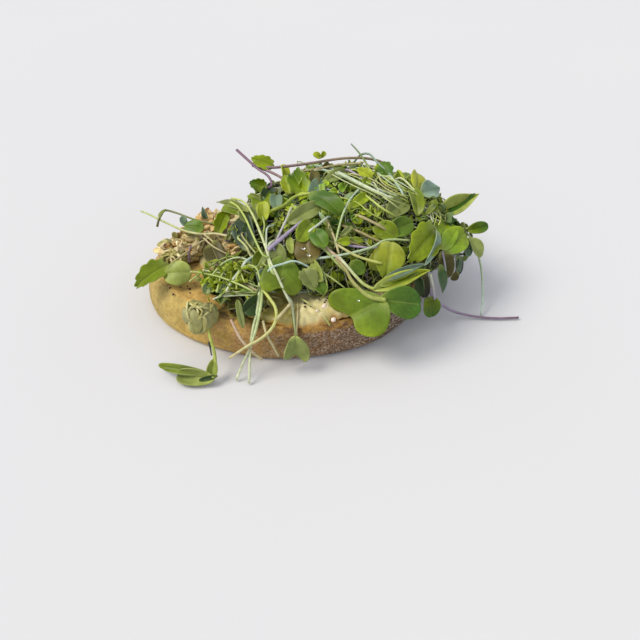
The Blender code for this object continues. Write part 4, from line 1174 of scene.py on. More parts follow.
# Leaves that show on the heap, as for the sprigs
HEAP_LEAVES = (
    ("toothed", (-37, 3, 34), (-29, 13.5, 44.5), 8.5, "bright", (-0.4, -0.8, 0.4), {"fold": 25,
     "bend": 20}),
    ("lance", (-21, -2, 49), (-35.5, 25, 40.5), 5, "sage", (-0.2, -0.4, 0.9), {"fold": 35, "bend": 20}),
    ("oval", (-25, 1, 46.5), (-33, 12, 44), 6, "fresh", (-0.2, -0.4, 0.9), {}),
    ("oval", (-22.5, -20, 38), (-23.5, -1, 45.5), 13, "grey", (-0.45, -0.75, 0.45), {"cup": 0.25,
     "shade": 0.42}),
    ("lobed", (-20, -10, 43), (-25, -7, 45), 6, "dark", (-0.3, -0.8, 0.5), {}),
    ("round", (-20, -6, 44.5), (-20, 4, 48.5), 12, "sage", (-0.2, -0.6, 0.75), {"bend": 20}),
    ("round", (-14, -3, 48.5), (-12.5, 12, 48), 11, "fresh", (-0.2, -0.6, 0.7), {"bend": 40}),
    ("oval", (-14, 6, 49.5), (-6, 20, 49), 7, "dark", (0, -0.5, 0.9), {"bend": 40}),
    ("round", (-8, -6, 51), (-7, 4, 54), 6.5, "grey", (-0.1, -0.8, 0.5), {}),
    ("oval", (-15, -9, 47.5), (-14, -2, 54), 7, "lime", (-0.1, -0.9, 0.3), {"bend": 50}),
    ("toothed", (1, 8, 51.5), (-0.5, 20, 56), 6.5, "lime", (-0.2, -0.8, 0.5), {"fold": 15,
     "tip_tint": "fresh"}),
    ("toothed", (8, 3, 51.5), (4, 20, 57.5), 13, "bright", (-0.1, -0.8, 0.5), {"fold": 30, "ruffle": 0.25,
     "tip_tint": "deep"}),
    ("toothed", (6, 6, 51.5), (12, 17, 57), 8, "bright", (0.1, -0.8, 0.5), {"fold": 15}),
    ("oval", (6, -21, 52.5), (-1.5, -30, 48), 9, "fresh", (-0.1, -0.8, 0.6), {}),
    ("oval", (9, -4, 56.5), (21, -20, 54.5), 12, "deep", (0, -0.55, 0.85), {"bend": 70, "fold": 24,
     "cup": -0.2, "ruffle": 0.22, "tip_tint": "mid", "shade": 0.85}),
    ("oval", (-4.5, -17, 50.5), (12.5, -12, 56), 9, "sage", (0, -0.7, 0.7), {"bend": 20}),
    ("oval", (-5, -33.5, 44), (-5, -24.5, 47), 4, "pale", (-0.2, -0.9, 0.4), {}),
    ("round", (2, -38.5, 41), (2, -27.5, 48.5), 13, "brown", (-0.15, -0.7, 0.7), {"bend": 40, "cup": -0.4,
     "ruffle": 0.08}),
    ("lance", (12, 6, 54), (16.5, 24, 57.5), 5.5, "olive", (-0.1, -0.8, 0.5), {"fold": 20}),
    ("oval", (9, -2, 53.5), (18, 13, 55.5), 8, "grey", (-0.1, -0.6, 0.8), {}),
    ("toothed", (53, 10, 55), (50, 21, 59), 9, "deep", (-0.1, -0.8, 0.6), {"bend": 40, "fold": 20,
     "tip_tint": "mid"}),
    ("toothed", (44, 10, 56), (37, 16, 58.5), 6.5, "lime", (-0.1, -0.7, 0.7), {"ruffle": 0.3}),
    ("lobed", (45, 12, 56.5), (50, 18, 57.5), 6, "bright", (0.1, -0.7, 0.7), {"ruffle": 0.3}),
    ("lobed", (41, 8, 57), (37, 3, 56), 5.5, "fresh", (-0.1, -0.8, 0.6), {"bend": 40, "ruffle": 0.3}),
    ("toothed", (55, 8, 55.5), (60, 13, 55.5), 6, "fresh", (0.1, -0.8, 0.6), {"bend": 40, "ruffle": 0.3}),
    ("lobed", (60, 8, 54), (57, 14, 56), 6, "lime", (0, -0.9, 0.4), {"bend": 40, "ruffle": 0.3}),
    ("round", (65, 2, 51), (70, 17, 54), 9, "yellow", (0.2, -0.7, 0.6), {"bend": 40, "cup": -0.2}),
    ("lance", (67, 0, 51), (80, 7, 48.5), 11, "blue", (0.1, -0.6, 0.8), {"bend": 20}),
    ("oval", (60, -18, 49), (62, 0, 54), 8.5, "fresh", (0, -0.9, 0.5), {"bend": 50, "cup": 0.1,
     "shade": 0.9}),
    ("lobed", (73, -12, 46), (69, -6, 49.5), 6, "fresh", (0.3, -0.7, 0.5), {"ruffle": 0.2}),
    ("oval", (89, -7, 33), (81, -6, 37), 4.5, "deep", (0.2, -0.7, 0.6), {"fold": 30}),
    ("toothed", (67.5, -24, 45.2), (48, -42, 39.5), 17.5, "fresh", (0.1, -0.75, 0.65), {"bend": 34,
     "cup": -0.12, "ruffle": 0.16, "tip_tint": "bright"}),
    ("lance", (67.5, -26.5, 45), (56, -44.5, 38), 5.5, "blue", (0.7, -0.6, 0.5), {"bend": 34}),
    ("oval", (70, -31.5, 36.5), (77.5, -12.5, 41), 14, "mid", (-0.12, -0.66, 0.75), {"bend": 22,
     "cup": -0.1, "tip_tint": "fresh", "shade": 1.75}),
    ("round", (70, -31, 36.4), (85, -21, 38.6), 14, "mid", (-0.08, -0.66, 0.75), {"bend": 22, "cup": -0.1,
     "tip_tint": "fresh", "shade": 1.7}),
    ("round", (70, -31, 36), (72, -33.5, 21), 10.5, "olive", (0.2, -0.9, 0.25), {}),
    ("lance", (80, -28, 30), (81, -31, 19), 4, "grey", (0.1, -0.9, 0.3), {"bend": 20}),
    ("oval", (57, -42, 34), (58.5, -45, 19), 5.5, "olive", (-0.1, -0.9, 0.3), {"shade": 0.7,
     "tip_tint": "night"}),
    ("lance", (66, -39, 34), (68.5, -43, 19), 5, "deep", (0.2, -0.9, 0.3), {"shade": 0.8,
     "tip_tint": "grey"}),
    ("oval", (53, -44, 34), (55, -47, 22), 5, "dark", (-0.1, -0.9, 0.3), {}),
    ("oval", (82, -27, 29), (79, -31, 20), 6, "night", (0.4, -0.9, 0.2), {}),
    ("oval", (80, -32, 23), (76, -34, 20), 4.5, "olive", (0.1, -0.9, 0.3), {}),
    ("lance", (41.5, -35, 46.5), (36.5, -48, 33.6), 16, "yellow", (-0.15, -0.75, 0.64), {"bend": 34,
     "cup": -0.3, "ruffle": 0.06, "tip_tint": "fresh"}),
    ("oval", (33, -37, 43), (34.5, -43.5, 37), 8, "yellow", (-0.35, -0.75, 0.55), {"cup": -0.3,
     "tip_tint": "fresh"}),
    ("lance", (35, -48.5, 35), (55.5, -45.5, 40), 4.5, "grey", (0, -0.6, 0.8), {"fold": 20, "bend": 20,
     "tip_tint": "blue", "shade": 0.75}),
    ("oval", (38, -47, 33), (57, -44, 38), 6, "dark", (0, -0.3, 0.9), {"bend": 10}),
    ("oval", (4, -37.5, 42), (6.5, -47, 36.5), 5.5, "pale", (-0.4, -0.8, 0.4), {}),
    ("heart", (-8.5, -33, 43), (-13.5, -48, 30.5), 21, "mid", (-0.04, -0.65, 0.76), {"bend": 24, "fold": 3,
     "cup": -0.12, "ruffle": 0.05, "tip_tint": "fresh"}),
    ("oval", (-18.5, -36, 39), (-21, -40, 34), 5, "blue", (-0.2, -0.8, 0.6), {"bend": 20, "shade": 0.8}),
    ("toothed", (-1, -40, 40), (3.5, -48.5, 32.5), 9, "sage", (0, -0.8, 0.5), {}),
    ("oval", (3, -44, 35), (8, -49.5, 32), 6, "mid", (0, -0.7, 0.7), {}),
    ("oval", (-13, -26, 45), (-9.5, -35, 40.5), 8.5, "sage", (-0.1, -0.8, 0.5), {"bend": 20}),
    ("oval", (-17, -26, 42), (-22, -32, 36.5), 7.5, "fresh", (-0.2, -0.8, 0.5), {"bend": 20}),
    ("round", (-41, -5, 35), (-37.5, -20.5, 31.5), 11, "olive", (-0.15, -0.8, 0.55), {"bend": 26,
     "cup": -0.1, "shade": 0.85}),
    ("oval", (-32, -44, 29), (-31, -56.5, 22), 3.4, "sage", (-0.1, -0.9, 0.4), {}),
    ("oval", (-21, -46, 30), (-30, -52, 27), 9, "dark", (0, -0.8, 0.5), {}),
    ("oval", (-19, -47, 29), (-12, -49.5, 28), 5, "olive", (0, -0.7, 0.6), {}),
    ("round", (43, -27, 46.5), (55.5, -23, 48.5), 10, "mid", (0, -0.7, 0.7), {"bend": 20}),
    ("oval", (44, -18, 50), (56.5, -9, 53), 11, "sage", (0, -0.6, 0.8), {"bend": 20, "shade": 0.85}),
    ("round", (37, -22, 48), (46, -31, 45), 10, "fresh", (0, -0.7, 0.7), {}),
    ("lobed", (16, -33, 48), (22.5, -34, 48.5), 5, "bright", (0, -0.8, 0.6), {}),
    ("oval", (18.5, -29, 48), (25, -24, 50), 3, "sage", (0, -0.7, 0.7), {}),
    ("round", (6, -26, 51), (10, -36, 47.5), 8.5, "deep", (0, -0.8, 0.6), {"bend": 40, "cup": -0.2,
     "tip_tint": "mid"}),
    ("oval", (21, -40, 41), (27, -44, 37), 7, "mid", (0, -0.8, 0.6), {"bend": 20}),
    ("oval", (26, -15, 54.5), (38, -5, 55), 6, "bright", (0, -0.6, 0.8), {}),
    ("oval", (19, 11, 55), (32, 20, 56), 7, "sage", (0, -0.6, 0.8), {"bend": 20}),
)
# Stems that show on the heap, as for the sprigs
HEAP_STEMS = (
    (0.62, 0.52, "stem_blue", "stem_green", ((3, -36, 42), (12, -38, 43.5), (22, -38.5, 45),
     (32, -37.5, 46.5), (38, -34, 47), (44, -33, 46.5), (52, -33, 45))),
    (0.55, 0.65, "stem_lime", "stem_white", ((-28, 15, 47.5), (-23, 6, 50.5), (-20, -6, 50.5),
     (-18, -18, 48), (-16.5, -28, 45), (-15.5, -35, 42), (-13.5, -41, 39), (-10.5, -46, 32),
     (-8.5, -50, 28))),
    (0.5, 0.5, "stem_lime", "stem_green", ((-29, 11, 48), (-26, 3, 49.5), (-23.5, -8, 49.5),
     (-21.5, -20, 47.5), (-18.5, -33, 44.5))),
    (0.58, 0.47, "stem_blue", "stem_blue", ((-20, -35, 31), (-18, -38, 37), (-15, -38.5, 41),
     (-10, -38, 42), (-5, -38, 43), (0, -39, 41), (5, -40, 37))),
    (0.74, 0.55, "stem_white", "stem_green", ((-24, -25, 37), (-29, -26, 33), (-32, -29, 30),
     (-35, -34, 29), (-40, -42, 30))),
    (0.4, 0.4, "stem_tan", "stem_beige", ((-60, -14, 32), (-55, -12, 34), (-50, -8, 35.5), (-46, -5, 36),
     (-42, -2, 36))),
    (0.4, 0.55, "stem_beige", "pale", ((-44, 1, 37), (-40, -5, 36), (-37, -12, 35.5), (-33, -17, 35))),
    (0.55, 0.55, "stem_green", "stem_beige", ((-28, -13, 42), (-25, -21, 42), (-23, -26, 39),
     (-19, -33, 37))),
    (0.47, 0.47, "stem_tan", "stem_green", ((-26, -12, 43), (-23.5, -21, 42.5), (-20, -27, 40),
     (-17, -33, 38))),
    (1.05, 0.8, "lilac", "lilac", ((-16, -30, 44.5), (-10, -26.7, 47.3), (-4, -23.3, 49.8),
     (1.5, -20.3, 52))),
    (0.78, 0.7, "stem_white", "stem_green", ((-15, -27, 45), (-16, -34, 42), (-15, -40, 39))),
    (0.66, 0.55, "stem_white", "lilac", ((-0.5, -7, 53), (-4.5, -15, 51.5), (-9, -22, 48), (-13, -29, 45))),
    (0.94, 0.78, "fresh", "stem_lime", ((-11, -8, 52), (-5, -8, 54.5), (2, -1, 55), (10, -3, 57))),
    (0.78, 0.62, "stem_blue", "stem_white", ((14, 26, 57), (22, 24, 56.5), (28, 16, 57), (34, 6, 57),
     (40, -3, 57), (46, -9, 56), (57, -10, 51))),
    (0.62, 0.55, "stem_blue", "stem_green", ((18, 21, 57.5), (28, 14, 56.5), (35, 2, 57), (42, -6, 56),
     (52, -9, 54))),
    (0.62, 0.55, "lilac", "stem_blue", ((33, 21, 56), (39, 10, 56), (44, -3, 56.5), (54, -9, 54))),
    (0.4, 0.78, "grey", "stem_lime", ((37, 31, 65.5), (39.5, 27, 63.5), (42, 24, 60.5), (44, 21, 57.5),
     (45, 15, 54.5))),
    (0.55, 0.55, "grey", "stem_blue", ((42, 29, 60), (46, 26, 61.5), (48.5, 19, 60), (53, 13, 57),
     (53.5, 2, 57), (55, -7, 55))),
    (0.55, 0.55, "stem_lime", "stem_green", ((37, 22, 55.5), (40, 15, 55), (41.5, 6, 55))),
    (0.62, 0.47, "stem_white", "stem_green", ((52, 9, 57), (54, 1, 57), (57.5, -3, 54))),
    (0.55, 0.62, "stem_white", "stem_lime", ((58, 7, 56.5), (61, 0, 55.5), (63, -4, 53))),
    (0.62, 0.55, "stem_green", "stem_lime", ((34, 1, 54.5), (37, -10, 56), (41, -18, 55), (47, -20, 51))),
    (0.58, 0.47, "stem_blue", "stem_green", ((35, 1, 55.5), (28, -10, 57.5), (22.5, -19, 56.5),
     (19, -25, 52.5), (15, -34, 47.5))),
    (0.78, 0.62, "stem_beige", "stem_tan", ((29, -19, 52.5), (35, -23, 51), (41, -26, 48))),
    (1.01, 0.78, "pink", "stem_beige", ((7, -27, 48), (12, -35, 45), (16, -39.5, 43), (20, -43, 39.5))),
    (0.62, 0.62, "sage", "stem_green", ((4, -27, 47), (10, -35, 45.5), (14, -40, 42), (18, -43, 38.5))),
    (0.7, 0.55, "stem_tan", "stem_tan", ((22, -20, 48), (29, -27, 48), (35, -31, 46), (40, -32, 44))),
    (0.55, 0.47, "stem_tan", "brown", ((16, -26, 47), (23, -32, 46.5), (29, -35, 45))),
    (0.47, 0.35, "stem_green", "fresh", ((8, -41, 38), (8.5, -47, 36.5), (8.5, -49, 33), (6, -50, 30))),
    (0.47, 0.39, "stem_green", "stem_green", ((8, -42, 38), (12, -46, 36.5), (17, -48, 32.5))),
    (0.66, 0.62, "stem_beige", "stem_lime", ((16, -34, 47), (24, -40, 44), (34, -43.5, 41.5))),
    (0.43, 0.43, "plum", "plum", ((-50.5, -8, 37), (-52, -11, 33.5), (-52, -12.5, 29.5))),
    (0.62, 0.55, "stem_white", "stem_blue", ((4, -27, 51), (9, -24, 52.5), (14, -20, 53.5))),
    (0.55, 0.55, "stem_tan", "stem_beige", ((14, -20, 51.5), (15, -30, 49.5), (16, -37, 45))),
    (0.47, 0.47, "pale", "stem_green", ((-15, -6, 50), (-15, -13, 47.5), (-17, -21, 45))),
    (0.43, 0.43, "stem_blue", "stem_white", ((-14, -16, 48), (-15.5, -23, 46.5), (-16, -29, 45))),
    (0.62, 0.39, "lilac", "lilac", ((22, -34, 46), (29, -36, 45.5), (36, -36, 45))),
    (0.7, 0.6, "stem_white", "lilac", ((60, -43.5, 32), (61.5, -46, 26), (63, -47, 19))),
    (0.55, 0.55, "lilac", "stem_blue", ((70, -31, 36), (71, -36, 28), (70, -38, 21))),
    (0.45, 0.45, "pale", "stem_green", ((-51, -22, 31), (-43, -30, 34), (-37, -36, 35.5), (-30, -43, 36),
     (-25, -47, 35))),
    (0.75, 0.6, "stem_blue", "stem_white", ((-26, -30, 39.6), (-29, -34, 38), (-33, -38, 36),
     (-37, -42, 32))),
    (0.4, 0.4, "stem_beige", "stem_tan", ((-44, -4, 37.5), (-40, -12, 37.5), (-34, -18, 36.5))),
    (0.45, 0.4, "stem_green", "stem_lime", ((-41, -40, 31), (-38, -33, 35), (-34, -30, 37.6),
     (-30, -33, 37.8), (-28, -40, 35))),
    (0.45, 0.4, "stem_lime", "stem_green", ((-32, -42, 33), (-31, -37, 37), (-26, -33, 39.4),
     (-22, -36, 39.4), (-21, -41, 36))),
)


def heap_leaves(heap):
    """The leaves that show on the heap, darker where the others shade them."""
    for shape, foot, tip, width, tint, facing, form in HEAP_LEAVES:
        shade = form.get("shade", 1.0) * (0.88 + 0.26 * float(ease(foot[2], 42.0, 54.0)))
        heap.leaf(shape, foot, tip, width, tint, facing=facing, **{**form, "shade": shade})


def pick(draw, choices):
    """One of several, by chance."""
    return choices[draw.randint(len(choices))]


def tucked(route):
    """A route with each end that lies on the heap led down between the other greens."""
    route = [np.array(point, float) for point in route]
    for end, beside in ((0, 1), (-1, -2)):
        point = route[end]
        if point[2] < 38.0 or point[2] > 60.0:
            continue
        deeper = point + 2.5 * unit(point - route[beside]) - 4.0 * unit(point - HEAP_MIDDLE)
        route = [deeper, *route] if end == 0 else [*route, deeper]
    return route


def heap_stems(heap):
    """The stems that show on the heap, with two thinner ones beside each of those on its crest."""
    draw = np.random.RandomState(19)
    for thick, thin, tint, end_tint, route in HEAP_STEMS:
        heap.stem(tucked(route), thick, tint, end_tint, thin, finish=stem_finish(tint))
        heights = [point[2] for point in route]
        if min(heights) < 50.0 or max(heights) > 60.0 or route[0][0] < 10.0:
            continue
        for _ in range(2):
            beside = np.array(route) + draw.uniform((-8.0, -5.0, -0.4), (8.0, 5.0, 1.0))
            beside[-1] += draw.uniform(-5.0, 5.0, 3) * (1.0, 1.0, 0.2)
            beside[0] += draw.uniform(-4.0, 4.0, 3) * (1.0, 1.0, 0.2)
            heap.stem(tucked(beside), draw.uniform(0.32, 0.5), pick(draw, THREAD_TINTS), "pale", 0.3)


# The feathery greens at the heap's front left: the routes of their strands,
FROND_ROUTES = (
    ((-53, -27, 29), (-46, -24, 32), (-40, -22, 35), (-33, -21, 37), (-27, -24, 37), (-22, -30, 35.5)),
    ((-42, -32, 29), (-40, -28, 32), (-37, -26, 34.5), (-34, -29, 34), (-33, -36, 31)),
    ((-32, -37, 31), (-32, -29, 35), (-28, -26, 37), (-23, -30, 36.5), (-21, -37, 33)),
    ((-46, -36, 28), (-40, -37, 30), (-33, -39, 31.5), (-26, -42, 31.5), (-20, -45, 31)),
    ((-43, -41, 28), (-37, -41, 30), (-30, -43, 31), (-22, -45, 30.5)),
    ((-47, -31, 28), (-43, -28, 31), (-40, -23, 34)),
    ((-38, -42, 28), (-33, -32, 32), (-27, -25, 37)),
    ((-36, -34, 31), (-30, -35, 33.5), (-24, -38, 33.5)),
)
# the spots of the leaves under them, painted dark as shade, and the height of these,
FROND_FLOOR = ((-42, -29), (-38, -34), (-31, -36), (-39, -38), (-33, -43), (-26, -41), (-36, -29))
FROND_FLOOR_HEIGHT = 25.0
# the stems that cross them, the last one thicker and longer,
FROND_STEMS = (
    ((-27, -14, 41), (-23, -24, 39.5), (-19, -33, 36)),
    ((-26, -26, 38), (-31, -33, 34), (-37, -41, 30.5)),
    ((-46, -23, 32), (-38, -29, 33.5), (-29, -36, 33.5), (-20, -42, 32)),
    ((-38, -42, 30), (-30, -44, 31), (-21, -46, 31)),
    ((-37, -40, 31), (-29, -43, 32), (-21, -45, 32)),
    ((-30, -29, 36), (-25, -33, 35), (-20, -34, 34)),
)
FROND_ARCH = ((-47, -34, 30), (-41, -28, 33.5), (-35, -24, 36.5), (-28, -25, 38.5), (-22, -31, 37.5),
              (-19, -37, 35))
# the middle and reach of the curls between them,
FROND_CURLS = (
    ((-35, -31, 35.5), 3.2), ((-27, -33, 36), 3.4), ((-31, -30, 36), 2.2), ((-40, -35, 31.5), 2.6),
    ((-31, -38, 33.5), 2.4), ((-43, -31, 31.5), 2.2),
)
# and the foot, tip and width of the grey leaves over them
FROND_LEAVES = (
    ((-39, -34, 31), (-36, -40, 29.5), 6.0), ((-33, -34, 33), (-31, -38, 31), 5.0),
    ((-44, -32, 30.5), (-46, -37, 28), 5.0), ((-27, -38, 32), (-25, -43, 30), 5.0),
)
LOBE_SIDES = ((-1.0, 1.0), (1.0,), (-1.0, 1.0), (-1.0,))    # sides of a strand with lobes, step by step


def frond_strands(heap, draw):
    """Thin arched strands with small lobes on both sides."""
    for route in FROND_ROUTES:
        heap.stem(route, 0.45, pick(draw, ("stem_lime", "stem_green", "stem_white")), "fresh", 0.35)
        path = smooth_route(route, 12)
        for number in range(1, 11):
            for side in LOBE_SIDES[number % 4]:
                ahead = unit(path[number + 1] - path[number - 1])
                across = unit(np.cross(ahead, (0.0, -0.6, 0.8))) * side
                start = path[number] + draw.uniform(-0.8, 0.8, 3)
                way = across * draw.uniform(0.2, 1.0) + ahead * draw.uniform(-0.6, 0.9)
                tip = start + unit(way + 0.5 * draw.normal(size=3)) * draw.uniform(2.4, 6.8)
                shape = pick(draw, ("lance", "lance", "toothed", "lance"))
                width = draw.uniform(0.6, 1.2) if shape == "lance" else draw.uniform(1.6, 2.8)
                heap.leaf(shape, start, tip, width, pick(draw, ("bright", "fresh", "lime", "mid", "sage")),
                          facing=unit(np.array((-0.1, -0.6, 0.7)) + 0.5 * draw.normal(size=3)), ruffle=0.25,
                          bend=draw.uniform(-60.0, 110.0), twist=draw.uniform(-50.0, 50.0),
                          blade=PLAIN_BLADE, shade=draw.uniform(0.7, 1.35), thickness=0.3)


def frond_curls(heap, draw):
    """Strands rolled into open rings, with lobed leaves round them."""
    for middle, reach in FROND_CURLS:
        turns = np.radians([turn + draw.uniform(-14.0, 14.0) for turn in range(20, 331, 62)])
        ring = np.stack([np.cos(turns), -0.5 * np.sin(turns), np.sin(turns)], 1)
        curl = np.array(middle) + reach * ring
        heap.stem(curl, 0.75, "bright", "lime", 0.6)
        for spot in curl:
            way = unit(spot - np.array(middle) + 0.5 * draw.normal(size=3))
            heap.leaf("lobed", spot, spot + way * draw.uniform(2.0, 4.2), draw.uniform(1.8, 3.2),
                      pick(draw, ("lime", "bright", "fresh")), ruffle=0.3, bend=draw.uniform(20.0, 100.0),
                      blade=PLAIN_BLADE, thickness=0.3)


def frilled_fronds(heap):
    """The feathery greens: strands and curls over leaves painted dark as shade, with stems and grey leaves
    across them.
    """
    draw = np.random.RandomState(21)
    frond_strands(heap, draw)
    for x, y in FROND_FLOOR:
        middle = np.array((x, y, FROND_FLOOR_HEIGHT))
        way = np.array((draw.uniform(-5.0, 5.0), draw.uniform(-4.0, 2.0), draw.uniform(1.0, 3.0)))
        # painted shade: dim, dark leaves under the strands
        heap.leaf("round", middle - way, middle + way, draw.uniform(6.0, 9.0),
                  pick(draw, ("dark", "deep", "olive")), ruffle=0.2, bend=draw.uniform(0.0, 60.0),
                  blade=PETAL_BLADE, shade=draw.uniform(0.4, 0.8))
    for route in FROND_STEMS:
        heap.stem(route, 0.42, pick(draw, ("stem_lime", "stem_white", "stem_beige")), "stem_green", 0.35)
    frond_curls(heap, draw)
    heap.stem(FROND_ARCH, 0.5, "stem_lime", "stem_blue", 0.5)
    for base, tip, width in FROND_LEAVES:
        heap.leaf("oval", base, tip, width, "grey", facing=(-0.1, -0.7, 0.6), shade=1.1, tip_tint="sage")


# Kinds of loose leaf in the heap: shape, shortest and longest in mm, width as a share of that,
# colours, share of all
FILL_KINDS = (
    ("heart", 5.0, 9.0, 1.15, ("mid", "fresh", "deep", "sage", "bright"), 0.15),
    ("round", 4.5, 8.0, 0.90, ("mid", "deep", "olive", "fresh", "grey", "yellow"), 0.12),
    ("oval", 5.0, 10.0, 0.55, ("fresh", "mid", "sage", "pale", "deep", "lime"), 0.17),
    ("toothed", 5.0, 10.0, 0.66, ("bright", "fresh", "mid", "bright", "lime"), 0.20),
    ("lobed", 4.0, 8.0, 0.85, ("bright", "fresh", "mid", "lime", "deep"), 0.22),
    ("lance", 7.0, 13.0, 0.24, ("grey", "sage", "lime", "blue"), 0.14),
)
FILL_STEMS = ("stem_green", "stem_lime", "stem_blue", "stem_beige", "stem_lime", "stem_tan", "pale",
              "stem_green", "stem_white", "lilac")
TUFT_TINTS = ("bright", "lime", "fresh", "mid", "pale", "bright", "deep")
THREAD_TINTS = ("stem_white", "stem_lime", "stem_green", "stem_beige", "stem_blue")
# painted shade: the leaves under the top ones are painted dark, the top ones bright
UNDER_LEAVES = 320                  # leaves packed under the top ones
TOP_LEAVES = 420                    # leaves on top, each with a stem
LONE_STEMS = 80                     # stems without a leaf
TUFTS = 190                         # tufts of small frilled leaves over the heap
THREADS = 190                       # fine pale stems between the tufts


def room_over(point):
    """How far greens may stand out of the heap's outline at a point, in mm."""
    x, y, _ = point
    back_left = ease(y - 0.3 * x, 2.0, 12.0) * ease(-x, -14.0, -2.0)
    back_right = ease(x, 50.0, 72.0) * ease(y, -6.0, 10.0)
    return 1.5 - 8.0 * back_left - 6.0 * back_right


def held_in(point, spare=0.0):
    """A point moved to within the heap's outline if it is outside it."""
    away = np.asarray(point, float) - HEAP_MIDDLE
    reach = float(np.linalg.norm(on_heap(away) - HEAP_MIDDLE)) + room_over(point) + spare
    return HEAP_MIDDLE + away * min(1.0, reach / float(np.linalg.norm(away)))


def outward(draw, lowest):
    """A direction from the heap's middle, evenly spread from a lowest climb upwards."""
    turn = draw.uniform(0.0, math.tau)
    climb = math.asin(draw.uniform(lowest, 1.0))
    return np.array((1.2 * math.cos(turn) * math.cos(climb), math.sin(turn) * math.cos(climb),
                     0.9 * math.sin(climb)))


def painted_light_at(point):
    """Painted light and shade: how much brighter leaves are painted on the crest, where the light falls, and
    how much darker lower down.
    """
    return 0.66 + 0.68 * float(ease(point[2], 42.0, 54.0))


def loose_leaf(bunch, draw, shallow, deep, shades):
    """One leaf of the heap, at a depth in mm, its face outwards. Returns its foot and its way out."""
    kind = draw.choice(len(FILL_KINDS), p=[row[-1] for row in FILL_KINDS])
    shape, short, long, ratio, tints, _ = FILL_KINDS[kind]
    out = outward(draw, -0.3)
    head = held_in(on_heap(out, draw.uniform(shallow, deep)), -shallow)
    out = unit(head - HEAP_MIDDLE)
    length = draw.uniform(short, long) * (1.0 - 0.25 * float(ease(head[2], 44.0, 56.0)))
    aside = unit(np.cross(out, draw.normal(size=3)))
    forward = unit(aside + out * draw.uniform(-0.25, 0.6))
    tip = held_in(head + forward * length, -0.5 * shallow)
    tip[2] = max(tip[2], 2.5)
    facing = unit(out + np.array((-0.1, -0.1, 0.35)) + 0.4 * draw.normal(size=3))
    tint, tip_tint = pick(draw, tints), pick(draw, tints)
    # painted light and shade: the leaf is painted brighter on the crest and darker lower down
    bunch.leaf(shape, head, tip, length * ratio * draw.uniform(0.8, 1.15), tint, facing=facing,
               cup=draw.uniform(-0.3, 0.35), bend=draw.uniform(-30.0, 95.0), ruffle=draw.uniform(0.05, 0.34),
               waves=draw.choice((3.0, 4.0, 5.0)), phase=draw.uniform(0.0, 6.0),
               twist=draw.uniform(-35.0, 35.0), fold=draw.choice((0.0, 0.0, 20.0, 40.0)), blade=PLAIN_BLADE,
               tip_tint=tip_tint, shade=painted_light_at(head) ** 1.25 * draw.uniform(*shades))
    return head, out


def loose_stem(bunch, draw, head, out):
    """A bent stem running from a leaf's foot across the heap."""
    drift = unit(np.cross(out, draw.normal(size=3)))
    reach = draw.uniform(18.0, 46.0)
    turn = draw.uniform(-0.5, 0.5)
    route = [head]
    for share in (0.3, 0.65, 1.0):
        sway = unit(drift + turn * share * np.cross(drift, out))
        way = head - sway * reach * share - HEAP_MIDDLE
        route.append(held_in(on_heap(way, draw.uniform(-0.5, 2.0) + 3.0 * share), -0.5))
    tint = pick(draw, FILL_STEMS)
    bunch.stem(route[::-1], draw.uniform(0.32, 0.55), tint, pick(draw, FILL_STEMS), draw.uniform(0.25, 0.42),
               tube=PLAIN_TUBE, shade=draw.uniform(0.6, 1.1), finish=stem_finish(tint))


def fill_heap(leaves, stems):
    """Loose leaves all over and inside the heap, with stems tangled between them."""
    draw = np.random.RandomState(7)
    for _ in range(UNDER_LEAVES):
        # painted shade: leaves deep in the heap are painted dark
        loose_leaf(leaves, draw, 3.0, 8.0, (0.3, 0.62))
    for _ in range(TOP_LEAVES):
        head, out = loose_leaf(leaves, draw, -1.0, 2.5, (0.9, 1.45))
        loose_stem(stems, draw, head, out)
    for _ in range(LONE_STEMS):
        out = outward(draw, 0.0)
        loose_stem(stems, draw, held_in(on_heap(out, 1.0)), unit(out))


def leaf_tufts(leaves, draw):
    """Small curled, frilled leaves in tufts over the heap."""
    for _ in range(TUFTS):
        out = outward(draw, 0.15)
        head = held_in(on_heap(out, draw.uniform(-0.8, 1.6)), -0.5)
        out = unit(head - HEAP_MIDDLE)
        tint = pick(draw, TUFT_TINTS)
        for _ in range(draw.randint(2, 4)):
            aside = unit(np.cross(out, draw.normal(size=3)))
            length = draw.uniform(2.5, 5.5)
            tip = held_in(head + unit(aside + out * draw.uniform(-0.1, 0.8)) * length, 0.3)
            facing = unit(out + np.array((-0.2, -0.1, 0.4)) + 0.6 * draw.normal(size=3))
            # painted light and shade: tufts on the crest are painted brighter, lower ones darker
            leaves.leaf(pick(draw, ("lobed", "toothed", "heart", "oval")), head, tip,
                        length * draw.uniform(0.5, 0.95), tint, facing=facing, cup=draw.uniform(-0.3, 0.6),
                        bend=draw.uniform(0.0, 120.0), ruffle=draw.uniform(0.15, 0.4),
                        twist=draw.uniform(-60.0, 60.0), blade=PLAIN_BLADE, tip_tint=pick(draw, TUFT_TINTS),
                        thickness=0.3, shade=draw.uniform(0.85, 1.35) * painted_light_at(head) ** 1.5)


def stem_threads(stems, draw):
    """Fine pale threads of stem between the tufts."""
    for _ in range(THREADS):
        out = outward(draw, 0.25)
        head = held_in(on_heap(out, 0.0), -0.5)
        drift = unit(np.cross(out, draw.normal(size=3)))
        reach = draw.uniform(9.0, 24.0)
        route = [head]
        for share in (0.35, 0.7, 1.0):
            way = head + drift * reach * share + out * 3.0 - HEAP_MIDDLE
            route.append(held_in(on_heap(way, draw.uniform(-1.2, 0.6) + 2.0 * share), 0.4))
        stems.stem(route, draw.uniform(0.28, 0.42), pick(draw, THREAD_TINTS), pick(draw, THREAD_TINTS),
                   draw.uniform(0.2, 0.32), tube=PLAIN_TUBE, shade=draw.uniform(0.85, 1.15))


def cover_heap(leaves, stems):
    """Tufts of small leaves over the heap, and then the threads between them."""
    draw = np.random.RandomState(13)
    leaf_tufts(leaves, draw)
    stem_threads(stems, draw)


# ---------------------------------------------------------------- small things

